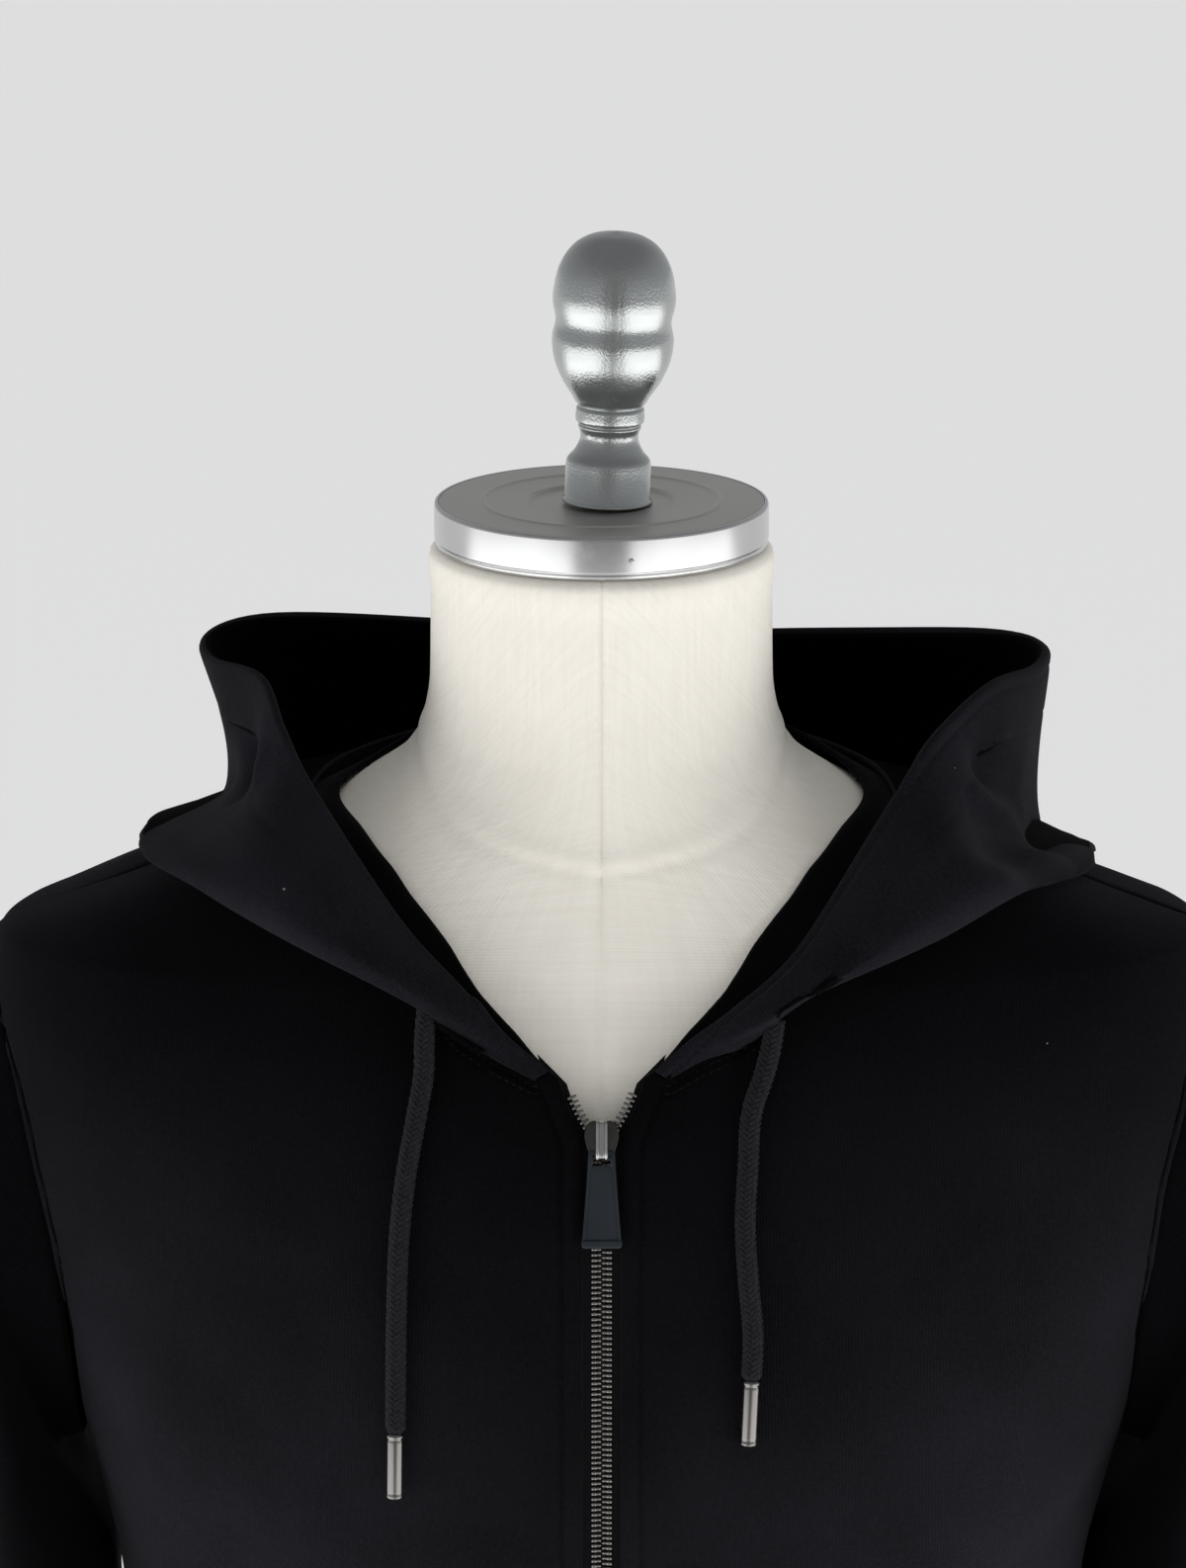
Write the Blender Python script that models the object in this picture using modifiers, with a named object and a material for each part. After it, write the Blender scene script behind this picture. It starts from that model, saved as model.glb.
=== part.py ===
"""A hooded full-zip sweater on a limbless dress form with a neck cap, a knob and a plain stand.

Metres, +Z up. The front faces -Y. Left and right are as seen from the front, so left is -X.
The origin is on the floor, under the stand's centre.
"""
import math
from collections import namedtuple

import bmesh
import bpy
from mathutils import Matrix, Vector

# ---- driving dimensions -------------------------------------------------------------------------
CLOTH = 0.002            # wall of the jersey
SEAM_GAP = 0.0003        # between pieces that are sewn or seated together
SLEEVE_GAP = 0.0008      # sleeve head beside the armhole edge

HEM_Z = 0.290
NECK_POINT_Z = 0.945     # where the shoulder seam meets the neckline
BACK_NECK_Z = 0.961

ARMHOLE_TOP_Z = 0.8890   # shoulder point
ARMHOLE_BOTTOM_Z = 0.690
ARMHOLE_FRONT = 0.056    # how far the armhole reaches forward of the side seam
ARMHOLE_BACK = 0.058

SLIDER_Z = 0.8413
SLIDER_WIDTH = 0.0122
SLIDER_FOOT_WIDTH = 0.0088
SLIDER_UP = 0.0063       # slider above and below its own middle
SLIDER_DOWN = 0.0078
SLIDER_PLATE = 0.0012
SLIDER_ROOM = 0.0005     # between the chain and each plate
SLIDER_POST = (0.0026, 0.0020)   # width and height of the wedge between the plates
SLIDER_POST_UP = 0.0049
TEETH_RADIUS = 0.0017    # one side of the chain, as a bead
TEETH_DEPTH = 0.0024     # bead's middle behind the front panel's face
TAPE_WIDTH = 0.0105
TAPE_THICK = 0.0006
ZIP_FOOT_Z = HEM_Z + 0.0065
BOX_SIZE = (0.0068, 0.0036, 0.0078)

BRIDGE_WIDTH = 0.0046
BRIDGE_THICK = 0.0011
NEARLY = 0.98            # keeps the faces of joined blocks apart
PULL_BAR = 0.0014        # height of the bar that the bridge holds
PULL_BAR_DROP = 0.0053   # bar's middle below the slider's middle
PULL_BAR_ROOM = 0.0013   # from the bar's middle to the slider's face and to the bridge
PULL_LENGTH = 0.0345
PULL_TOP_WIDTH = 0.0095
PULL_FOOT_WIDTH = 0.0145
PULL_THICK = 0.0016
PULL_LIP_THICK = 0.0026
PULL_LIP_HEIGHT = 0.0030
PULL_WINDOW_WIDTH = 0.0060
PULL_WINDOW_HEIGHT = 0.0042

CORD_DIAMETER = 0.0078
AGLET_RADIUS = 0.0031
AGLET_LENGTH = 0.0235

CAP_RADIUS = 0.0612
CAP_TOP_Z = 1.0495
CAP_HEIGHT = 0.0160
KNOB_LEAN = math.radians(2.0)
KNOB_X = 0.0020
KNOB_SEAT_Z = 1.0492

FORM_FOOT_Z = 0.250
POLE_RADIUS = 0.016
BASE_RADIUS = 0.180
BASE_THICK = 0.012

# ---- tables -------------------------------------------------------------------------------------
Ring = namedtuple("Ring", "z half_width front back square")

# the sweater's body: a row for each level of the outer face, hem to neck
BODY = [
    Ring(0.290, 0.1860, 0.1280, 0.1240, 2.30),
    Ring(0.360, 0.1880, 0.1330, 0.1270, 2.30),
    Ring(0.450, 0.1850, 0.1340, 0.1240, 2.30),
    Ring(0.540, 0.1810, 0.1340, 0.1210, 2.30),
    Ring(0.600, 0.1800, 0.1340, 0.1200, 2.30),
    Ring(0.650, 0.1845, 0.1340, 0.1210, 2.30),
    Ring(0.700, 0.1960, 0.1330, 0.1230, 2.30),
    Ring(0.750, 0.2085, 0.1290, 0.1240, 2.30),
    Ring(0.800, 0.2210, 0.1220, 0.1220, 2.30),
    Ring(0.835, 0.2270, 0.1140, 0.1180, 2.30),
    Ring(0.858, 0.2285, 0.1065, 0.1130, 2.30),
    Ring(0.877, 0.2265, 0.0990, 0.1065, 2.30),
    Ring(0.8890, 0.2225, 0.0940, 0.1010, 2.30),
    Ring(0.8955, 0.2085, 0.0908, 0.0978, 2.30),
    Ring(0.9065, 0.1800, 0.0858, 0.0925, 2.28),
    Ring(0.9190, 0.1500, 0.0808, 0.0875, 2.25),
    Ring(0.9320, 0.1200, 0.0765, 0.0835, 2.20),
    Ring(0.9440, 0.0970, 0.0733, 0.0800, 2.14),
    Ring(0.955, 0.0805, 0.0715, 0.0770, 2.08),
    Ring(0.965, 0.0715, 0.0700, 0.0740, 2.00),
]

# the dress form, foot to neck
FORM = [
    Ring(0.250, 0.1700, 0.1150, 0.1100, 2.20),
    Ring(0.300, 0.1720, 0.1180, 0.1130, 2.20),
    Ring(0.370, 0.1700, 0.1180, 0.1130, 2.20),
    Ring(0.450, 0.1600, 0.1140, 0.1040, 2.20),
    Ring(0.530, 0.1520, 0.1120, 0.0950, 2.20),
    Ring(0.600, 0.1580, 0.1160, 0.0960, 2.20),
    Ring(0.660, 0.1690, 0.1190, 0.1010, 2.20),
    Ring(0.720, 0.1810, 0.1200, 0.1080, 2.25),
    Ring(0.780, 0.1930, 0.1140, 0.1100, 2.28),
    Ring(0.830, 0.2020, 0.1050, 0.1080, 2.30),
    Ring(0.856, 0.2060, 0.0965, 0.1040, 2.30),
    Ring(0.874, 0.2060, 0.0900, 0.0990, 2.30),
    Ring(0.886, 0.2010, 0.0855, 0.0950, 2.30),
    Ring(0.8945, 0.1920, 0.0835, 0.0930, 2.30),
    Ring(0.9065, 0.1715, 0.0800, 0.0880, 2.28),
    Ring(0.9190, 0.1425, 0.0762, 0.0830, 2.25),
    Ring(0.9320, 0.1128, 0.0724, 0.0785, 2.20),
    Ring(0.9440, 0.0885, 0.0688, 0.0745, 2.14),
    Ring(0.955, 0.0730, 0.0665, 0.0705, 2.08),
    Ring(0.967, 0.0662, 0.0645, 0.0665, 2.00),
    Ring(0.985, 0.0630, 0.0630, 0.0635, 2.00),
    Ring(1.010, 0.0626, 0.0626, 0.0626, 2.00),
    Ring(1.0332, 0.0622, 0.0622, 0.0622, 2.00),
]

# the top edge of the body round the neck: degrees from the front's middle, and height
NecklineRow = namedtuple("NecklineRow", "degrees z")
NECKLINE = [
    NecklineRow(0.0, 0.8590), NecklineRow(2.6, 0.8625), NecklineRow(6.2, 0.8785),
    NecklineRow(10.0, 0.8935), NecklineRow(15.0, 0.9060), NecklineRow(23.0, 0.9180),
    NecklineRow(36.0, 0.9300), NecklineRow(58.0, 0.9400), NecklineRow(90.0, NECK_POINT_Z),
    NecklineRow(115.0, 0.9510), NecklineRow(150.0, 0.9590), NecklineRow(180.0, BACK_NECK_Z),
]

# the sleeve: a row for each section below the armhole. The section's long way up is tilted from
# level, and the sleeve hangs limp, so lower down it is flat against the body's side.
SleeveRow = namedtuple("SleeveRow", "out z tilt half_height half_depth forward")
SLEEVE = [
    SleeveRow(0.2235, 0.7760, 77.0, 0.0930, 0.0600, 0.003),
    SleeveRow(0.2225, 0.7400, 67.0, 0.0740, 0.0700, 0.007),
    SleeveRow(0.2160, 0.6860, 50.0, 0.0500, 0.0780, 0.011),
    SleeveRow(0.2120, 0.6260, 24.0, 0.0320, 0.0800, 0.014),
    SleeveRow(0.2110, 0.5600, 6.0, 0.0285, 0.0780, 0.014),
    SleeveRow(0.2140, 0.4800, 0.0, 0.0265, 0.0720, 0.010),
    SleeveRow(0.2165, 0.3800, 0.0, 0.0250, 0.0640, 0.003),
    SleeveRow(0.2155, 0.2720, 0.0, 0.0235, 0.0540, -0.006),
]

# the hood: a row for each station from the zip to the centre back. The neck seam lies on the body,
# and the other columns are the lines that the cloth is drawn over on its way to the open rim.
HoodRow = namedtuple("HoodRow", "along seam_degrees seam_z stand under roll crest face rim")
HOOD_LEFT = [
    HoodRow(0.00, 4.3, 0.8603, 0.0013, (0.0236, -0.1076, 0.8618), (0.0229, -0.1077, 0.8625),
            (0.0218, -0.1077, 0.8633), (0.0204, -0.1074, 0.8639), (0.0190, -0.1068, 0.8648)),
    HoodRow(0.07, 7.2, 0.8668, 0.0040, (0.0377, -0.1059, 0.8690), (0.0377, -0.1065, 0.8707),
            (0.0370, -0.1064, 0.8725), (0.0356, -0.1054, 0.8747), (0.0338, -0.1028, 0.8769)),
    HoodRow(0.14, 10.2, 0.8745, 0.0066, (0.0525, -0.1040, 0.8765), (0.0525, -0.1070, 0.8800),
            (0.0508, -0.1088, 0.8832), (0.0482, -0.1070, 0.8865), (0.0444, -0.1000, 0.8895)),
    HoodRow(0.28, 20.0, 0.9050, 0.0066, (0.0860, -0.0930, 0.9030), (0.0890, -0.1010, 0.8998),
            (0.0860, -0.1065, 0.9052), (0.0790, -0.1010, 0.9100), (0.0700, -0.0860, 0.9140)),
    HoodRow(0.42, 41.0, 0.9240, 0.0066, (0.1310, -0.0560, 0.9180), (0.1425, -0.0660, 0.9195),
            (0.1400, -0.0740, 0.9260), (0.1210, -0.0740, 0.9400), (0.1000, -0.0560, 0.9510)),
    HoodRow(0.54, 75.0, 0.9370, 0.0066, (0.1480, -0.0160, 0.9290), (0.1690, -0.0240, 0.9235),
            (0.1610, -0.0310, 0.9280), (0.1335, -0.0350, 0.9450), (0.1170, -0.0350, 0.9740)),
    HoodRow(0.61, 92.0, 0.9398, 0.0066, (0.1499, 0.0077, 0.9310), (0.1687, 0.0057, 0.9255),
            (0.1590, -0.0012, 0.9290), (0.1355, -0.0120, 0.9440), (0.1265, -0.0080, 0.9862)),
    HoodRow(0.68, 110.0, 0.9410, 0.0066, (0.1450, 0.0330, 0.9270), (0.1590, 0.0400, 0.9190),
            (0.1510, 0.0360, 0.9250), (0.1360, 0.0160, 0.9400), (0.1470, 0.0280, 0.9830)),
    HoodRow(0.84, 145.0, 0.9460, 0.0066, (0.1050, 0.1010, 0.8850), (0.1100, 0.1380, 0.8300),
            (0.1270, 0.1620, 0.8600), (0.1310, 0.1380, 0.9330), (0.1270, 0.0930, 0.9850)),
    HoodRow(1.00, 180.0, 0.9530, 0.0066, (0.0000, 0.1240, 0.8600), (0.0000, 0.1600, 0.7670),
            (0.0000, 0.1950, 0.7950), (0.0000, 0.2020, 0.9050), (0.0000, 0.1480, 0.9670)),
]
HOOD_RIGHT = [
    HoodRow(0.00, 4.3, 0.8603, 0.0006, (0.0234, -0.1076, 0.8618), (0.0227, -0.1077, 0.8625),
            (0.0216, -0.1077, 0.8633), (0.0202, -0.1074, 0.8639), (0.0188, -0.1068, 0.8648)),
    HoodRow(0.07, 7.0, 0.8668, 0.0016, (0.0365, -0.1059, 0.8690), (0.0365, -0.1065, 0.8707),
            (0.0357, -0.1065, 0.8725), (0.0343, -0.1054, 0.8748), (0.0326, -0.1029, 0.8769)),
    HoodRow(0.14, 10.2, 0.8720, 0.0030, (0.0525, -0.1045, 0.8735), (0.0530, -0.1080, 0.8776),
            (0.0515, -0.1100, 0.8800), (0.0490, -0.1070, 0.8840), (0.0455, -0.0995, 0.8865)),
    HoodRow(0.28, 20.0, 0.9040, 0.0030, (0.0845, -0.0940, 0.9000), (0.0880, -0.1020, 0.8952),
            (0.0852, -0.1085, 0.8998), (0.0790, -0.1020, 0.9040), (0.0700, -0.0860, 0.9065)),
    HoodRow(0.42, 41.0, 0.9240, 0.0030, (0.1300, -0.0580, 0.9150), (0.1420, -0.0690, 0.9150),
            (0.1400, -0.0780, 0.9240), (0.1230, -0.0740, 0.9390), (0.1035, -0.0560, 0.9510)),
    HoodRow(0.54, 75.0, 0.9370, 0.0030, (0.1480, -0.0220, 0.9210), (0.1630, -0.0340, 0.9135),
            (0.1590, -0.0440, 0.9165), (0.1458, -0.0430, 0.9295), (0.1240, -0.0380, 0.9740)),
    HoodRow(0.61, 92.0, 0.9398, 0.0030, (0.1620, 0.0039, 0.9160), (0.1785, -0.0070, 0.9090),
            (0.1735, -0.0180, 0.9140), (0.1570, -0.0220, 0.9265), (0.1445, -0.0060, 0.9831)),
    HoodRow(0.68, 110.0, 0.9410, 0.0036, (0.1600, 0.0300, 0.9110), (0.1790, 0.0260, 0.8990),
            (0.1760, 0.0160, 0.9050), (0.1600, 0.0120, 0.9170), (0.1640, 0.0300, 0.9800)),
    HoodRow(0.76, 128.0, 0.9435, 0.0066, (0.1450, 0.0720, 0.9000), (0.1640, 0.0880, 0.8720),
            (0.1710, 0.0860, 0.8760), (0.1660, 0.0740, 0.9200), (0.1680, 0.0680, 0.9790)),
    HoodRow(0.84, 145.0, 0.9460, 0.0066, (0.1100, 0.1010, 0.8850), (0.1180, 0.1380, 0.8350),
            (0.1400, 0.1600, 0.8650), (0.1510, 0.1350, 0.9330), (0.1500, 0.0960, 0.9780)),
    HoodRow(1.00, 180.0, 0.9530, 0.0066, (0.0000, 0.1240, 0.8600), (0.0000, 0.1600, 0.7670),
            (0.0000, 0.1950, 0.7950), (0.0000, 0.2020, 0.9050), (0.0000, 0.1480, 0.9640)),
]

# turned profiles: radius and height, down the outer side
TurnedRow = namedtuple("TurnedRow", "radius z")
KNOB = [
    TurnedRow(0.0000, 0.1000), TurnedRow(0.0095, 0.0982), TurnedRow(0.0160, 0.0940),
    TurnedRow(0.0203, 0.0870), TurnedRow(0.0221, 0.0790), TurnedRow(0.0223, 0.0735),
    TurnedRow(0.0211, 0.0672), TurnedRow(0.0222, 0.0600), TurnedRow(0.0211, 0.0525),
    TurnedRow(0.0180, 0.0452), TurnedRow(0.0142, 0.0394), TurnedRow(0.0125, 0.0366),
    TurnedRow(0.0126, 0.0310), TurnedRow(0.0120, 0.0290), TurnedRow(0.0107, 0.0255),
    TurnedRow(0.0109, 0.0225), TurnedRow(0.0128, 0.0186), TurnedRow(0.0150, 0.0160),
    TurnedRow(0.0156, 0.0140), TurnedRow(0.0156, 0.0000), TurnedRow(0.0000, 0.0000),
]

# the zip: how far the teeth and the front panel's edge stand from the middle at each height
ZipRow = namedtuple("ZipRow", "z teeth edge")
ZIP = [
    ZipRow(0.2900, 0.00185, 0.0068), ZipRow(0.8360, 0.00185, 0.0068), ZipRow(0.8405, 0.0025, 0.0071),
    ZipRow(0.8445, 0.0046, 0.0084), ZipRow(0.8500, 0.0080, 0.0110), ZipRow(0.8575, 0.0116, 0.0140),
    ZipRow(0.8640, 0.0140, 0.0158),
]

# the free drawcords: each point is (x, y, z), from where the cord leaves the hood to its tip
CORD_LEFT = [(-0.0634, -0.1045, 0.8755), (-0.0635, -0.1072, 0.8655), (-0.0663, -0.1120, 0.8489),
             (-0.0695, -0.1163, 0.8318), (-0.0722, -0.1208, 0.8100), (-0.0734, -0.1247, 0.7850),
             (-0.0738, -0.1275, 0.7600), (-0.0741, -0.1299, 0.7354)]
CORD_RIGHT = [(0.0603, -0.1047, 0.8715), (0.0575, -0.1083, 0.8620), (0.0541, -0.1117, 0.8529),
              (0.0523, -0.1176, 0.8319), (0.0513, -0.1225, 0.8106), (0.0524, -0.1257, 0.7927),
              (0.0542, -0.1288, 0.7706), (0.0536, -0.1304, 0.7558)]


# ---- curves through the tables ------------------------------------------------------------------
def hermite(keys, values, at, steady=False):
    """The value at a key on a smooth curve through all values, which may be numbers or vectors.

    A steady curve never swings past the numbers that it runs through.
    """
    at = min(max(at, keys[0]), keys[-1])
    last = len(keys) - 2
    i = next((k for k in range(last) if at <= keys[k + 1]), last)

    def slope(k):
        if k == 0 or k == len(keys) - 1:
            a, b = (0, 1) if k == 0 else (k - 1, k)
            return (values[b] - values[a]) / (keys[b] - keys[a])
        before, after = keys[k] - keys[k - 1], keys[k + 1] - keys[k]
        rise_in = (values[k] - values[k - 1]) / before
        rise_out = (values[k + 1] - values[k]) / after
        if not steady:
            return (rise_in * after + rise_out * before) / (before + after)
        if rise_in * rise_out <= 0:
            return 0.0
        near, far = 2 * after + before, after + 2 * before
        return (near + far) / (near / rise_in + far / rise_out)

    width = keys[i + 1] - keys[i]
    t = (at - keys[i]) / width
    return (values[i] * (2 * t**3 - 3 * t**2 + 1) + slope(i) * (width * (t**3 - 2 * t**2 + t))
            + values[i + 1] * (3 * t**2 - 2 * t**3) + slope(i + 1) * (width * (t**3 - t**2)))


def column(rows, key, name, at):
    """One named column of a table, read at a key."""
    return hermite([getattr(row, key) for row in rows], [getattr(row, name) for row in rows], at, steady=True)


def ring_point(table, angle, z):
    """A point of a ringed surface: the angle turns from the front's middle towards +X."""
    power = 2.0 / column(table, "z", "square", z)
    side, ahead = math.sin(angle), math.cos(angle)
    depth = column(table, "z", "front" if ahead > 0 else "back", z)
    x = column(table, "z", "half_width", z) * math.copysign(abs(side) ** power, side)
    y = -depth * math.copysign(abs(ahead) ** power, ahead)
    return Vector((x, y, z))


def new_material(name, colour, roughness, metallic=0.0):
    material = bpy.data.materials.new(name)
    material.use_nodes = True
    shader = material.node_tree.nodes["Principled BSDF"]
    shader.inputs["Base Color"].default_value = (*colour, 1.0)
    shader.inputs["Roughness"].default_value = roughness
    shader.inputs["Metallic"].default_value = metallic
    return material


def add_object(name, data, material):
    piece = bpy.data.objects.new(name, data)
    data.materials.append(material)
    PARTS.objects.link(piece)
    return piece


def mesh_from(bm, name):
    bmesh.ops.recalc_face_normals(bm, faces=bm.faces)
    if bm.calc_volume(signed=True) < 0:
        bmesh.ops.reverse_faces(bm, faces=bm.faces)
    mesh = bpy.data.meshes.new(name)
    bm.to_mesh(mesh)
    bm.free()
    mesh.shade_smooth()
    mesh.set_sharp_from_angle(angle=math.radians(40))
    return mesh


def cloth_wall(name, columns, rows, surface, material, closed=False, thickness=CLOTH):
    """A wall whose outer face is surface(u, v): a flat slab is cut into a grid and drawn over it.

    surface gives a point and the way out there. A closed wall is a tube round u.
    """
    bm = bmesh.new()
    bmesh.ops.create_grid(bm, x_segments=columns, y_segments=rows, size=1)
    inner = bmesh.ops.extrude_face_region(bm, geom=bm.faces[:], use_keep_orig=True)["geom"]
    bmesh.ops.translate(bm, vec=(0, 0, -1), verts=[v for v in inner if isinstance(v, bmesh.types.BMVert)])
    if closed:
        ends = [f for f in bm.faces if abs(f.normal.x) > 0.5]
        bmesh.ops.delete(bm, geom=ends, context="FACES_ONLY")
    for vert in bm.verts:
        u, v = (min(max(round((c + 1) / 2, 6), 0.0), 1.0) for c in vert.co.xy)
        point, out = surface(u, v)
        vert.co = point + out * (vert.co.z * thickness)
    if closed:
        bmesh.ops.remove_doubles(bm, verts=bm.verts[:], dist=1e-6)
    return add_object(name, mesh_from(bm, name), material)


def turned(name, profile, steps, material, location=(0, 0, 0), lean=0.0):
    """A solid of revolution about its own Z."""
    mesh = bpy.data.meshes.new(name)
    mesh.from_pydata([(r, 0, z) for r, z in profile], [(i, i + 1) for i in range(len(profile) - 1)], [])
    piece = add_object(name, mesh, material)
    screw = piece.modifiers.new("turn", "SCREW")
    screw.steps = screw.render_steps = steps
    screw.use_merge_vertices = True
    screw.merge_threshold = 0.0001
    screw.use_smooth_shade = True
    piece.location = location
    piece.rotation_euler = (0, lean, 0)
    return piece


def tube(name, points, radius, material, sides=2):
    """A round bar or cord along points."""
    curve = bpy.data.curves.new(name, "CURVE")
    curve.dimensions = "3D"
    spline = curve.splines.new("POLY")
    spline.points.add(len(points) - 1)
    for target, point in zip(spline.points, points):
        target.co = (*point, 1.0)
    curve.bevel_depth = radius
    curve.bevel_resolution = sides
    curve.use_fill_caps = True
    return add_object(name, curve, material)


def ringed_solid(name, table, columns, rows, material):
    """A solid skinned over a table of rings, closed flat at its foot and top."""
    bm = bmesh.new()
    bmesh.ops.create_grid(bm, x_segments=columns, y_segments=rows, size=1)
    low, high = table[0].z, table[-1].z
    for vert in bm.verts:
        angle = math.pi * (vert.co.x + 1)
        vert.co = ring_point(table, angle, low + (high - low) * (vert.co.y + 1) / 2)
    bmesh.ops.remove_doubles(bm, verts=bm.verts[:], dist=1e-6)
    bmesh.ops.holes_fill(bm, edges=[e for e in bm.edges if e.is_boundary], sides=0)
    return add_object(name, mesh_from(bm, name), material)


def block(size, centre, foot_scale=1.0):
    """A box as a mesh, its foot widened or narrowed."""
    bm = bmesh.new()
    bmesh.ops.create_cube(bm, size=1)
    for vert in bm.verts:
        x = vert.co.x * (foot_scale if vert.co.z < 0 else 1.0)
        vert.co = Vector((x * size[0], vert.co.y * size[1], vert.co.z * size[2])) + Vector(centre)
    mesh = bpy.data.meshes.new("block")
    bm.to_mesh(mesh)
    bm.free()
    return mesh


def combine(piece, mesh, operation):
    """Joins a block to a piece, or cuts it away, in the piece's own place."""
    helper = bpy.data.objects.new(f"{piece.name}_{operation.lower()}", mesh)
    helper.matrix_world = piece.matrix_world.copy()
    helper.hide_render = True
    helper.display_type = "WIRE"
    CUTTERS.objects.link(helper)
    boolean = piece.modifiers.new(operation.lower(), "BOOLEAN")
    boolean.operation = operation
    boolean.object = helper


# ---- the sweater's body -------------------------------------------------------------------------
SIDE_ROWS, ARMHOLE_ROWS, SHOULDER_ROWS = 7, 8, 4
BODY_ROWS = SIDE_ROWS + ARMHOLE_ROWS + SHOULDER_ROWS
FRONT_COLUMNS = 10
BACK_COLUMNS = 16
ARMHOLE_Z = (ARMHOLE_TOP_Z + ARMHOLE_BOTTOM_Z) / 2
ARMHOLE_HALF = (ARMHOLE_TOP_Z - ARMHOLE_BOTTOM_Z) / 2


def body_normal(angle, z):
    turn, rise = 0.01, 0.0015
    across = ring_point(BODY, angle + turn, z) - ring_point(BODY, angle - turn, z)
    up = ring_point(BODY, angle, z + rise) - ring_point(BODY, angle, z - rise)
    return across.cross(up).normalized()


def angle_at_x(x, z):
    """The body's angle where its front is x from the middle."""
    ratio = min(x / column(BODY, "z", "half_width", z), 1.0)
    return math.asin(ratio ** (column(BODY, "z", "square", z) / 2))


def angle_at_depth(depth, z, face):
    """The body's angle from its side towards a face, where it is this far from the side seam."""
    ratio = depth / column(BODY, "z", face, z)
    return math.pi / 2 - math.asin(ratio ** (column(BODY, "z", "square", z) / 2))


def edge_height(v):
    """Height along a panel's outer edge: side seam, then armhole, then shoulder seam."""
    row = v * BODY_ROWS
    if row <= SIDE_ROWS:
        return HEM_Z + (ARMHOLE_BOTTOM_Z - HEM_Z) * row / SIDE_ROWS
    row -= SIDE_ROWS
    if row <= ARMHOLE_ROWS:
        return ARMHOLE_Z - ARMHOLE_HALF * math.cos(math.pi * row / ARMHOLE_ROWS)
    return ARMHOLE_TOP_Z + (NECK_POINT_Z - ARMHOLE_TOP_Z) * (row - ARMHOLE_ROWS) / SHOULDER_ROWS


def armhole_reach(z):
    """How much of the armhole's depth is open at a height, from 0 to 1."""
    rise = (z - ARMHOLE_Z) / ARMHOLE_HALF
    return math.sqrt(max(0.0, 1.0 - rise * rise))


def panel_point(angle_of, v, edge_angle):
    """A panel's point: each row runs from the outer edge's height towards the neckline's."""
    share = (edge_height(v) - HEM_Z) / (NECK_POINT_Z - HEM_Z)
    top = NECK_POINT_Z
    for _ in range(4):
        degrees = math.degrees(angle_of(math.pi / 2, top))
        top = column(NECKLINE, "degrees", "z", min(degrees, 360 - degrees))
    z = HEM_Z + share * (top - HEM_Z)
    return angle_of(edge_angle, z), z


def front_surface(side):
    def surface(u, v):
        edge_z = edge_height(v)
        edge_angle = angle_at_depth(ARMHOLE_FRONT * armhole_reach(edge_z), edge_z, "front")

        def angle_of(outer, z):
            inner = angle_at_x(column(ZIP, "z", "edge", z), z)
            return inner + (outer - inner) * u ** 1.4

        angle, z = panel_point(angle_of, v, edge_angle)
        point, out = ring_point(BODY, angle, z), body_normal(angle, z)
        if u > 0.9999:
            point.y -= SEAM_GAP / 2
        return Vector((side * point.x, point.y, point.z)), Vector((side * out.x, out.y, out.z))
    return surface


def back_surface(u, v):
    edge_z = edge_height(v)
    edge_angle = math.pi - angle_at_depth(ARMHOLE_BACK * armhole_reach(edge_z), edge_z, "back")

    def angle_of(outer, _z):
        return outer + (2 * math.pi - 2 * outer) * u

    angle, z = panel_point(angle_of, v, edge_angle)
    point, out = ring_point(BODY, angle, z), body_normal(angle, z)
    if min(u, 1 - u) < 0.0001:
        point.y += SEAM_GAP / 2
    return point, out


def front_point(x, z, depth=0.0):
    """A point on the front, this far behind the cloth's face."""
    angle = angle_at_x(abs(x), z)
    point = ring_point(BODY, angle, z) - body_normal(angle, z) * depth
    return Vector((math.copysign(point.x, x), point.y, point.z))


# ---- sleeves, hood and zip tapes ----------------------------------------------------------------
SLEEVE_COLUMNS = 2 * ARMHOLE_ROWS
SLEEVE_ROWS = 11
HOOD_COLUMNS, HOOD_ROWS = 18, 11


def sleeve_sections(turn):
    """The sleeve's outer face at one angle round it, as a point for each section."""
    high, ahead = math.cos(turn), math.sin(turn)
    z = ARMHOLE_Z + ARMHOLE_HALF * high
    face, reach = ("front", ARMHOLE_FRONT) if ahead > 0 else ("back", ARMHOLE_BACK)
    depth, square = column(BODY, "z", face, z), column(BODY, "z", "square", z)
    share = (1 - (abs(ahead) * reach / depth) ** square) ** (1 / square)
    points = [Vector((column(BODY, "z", "half_width", z) * share + SLEEVE_GAP, -reach * ahead, z))]
    for row in SLEEVE:
        tilt = math.radians(row.tilt)
        points.append(Vector((row.out + row.half_height * high * math.cos(tilt),
                              row.forward - row.half_depth * ahead,
                              row.z + row.half_height * high * math.sin(tilt))))
    return points


def sleeve_surface(side):
    centres = [Vector((row.out, 0, row.z)) for row in SLEEVE]
    keys = [0.0, 0.03]
    for before, after in zip(centres, centres[1:]):
        keys.append(keys[-1] + (after - before).length)

    def point_at(u, v):
        return hermite(keys, sleeve_sections(2 * math.pi * u), v * keys[-1])

    def surface(u, v):
        point = point_at(u, v)
        step = 0.01
        across = point_at(u + step, v) - point_at(u - step, v)
        along = point_at(u, min(v + step, 1)) - point_at(u, max(v - step, 0))
        out = across.cross(along)
        if v < 0.0001:
            out.x = 0
        out.normalize()
        return Vector((side * point.x, point.y, point.z)), Vector((side * out.x, out.y, out.z))
    return surface


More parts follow.
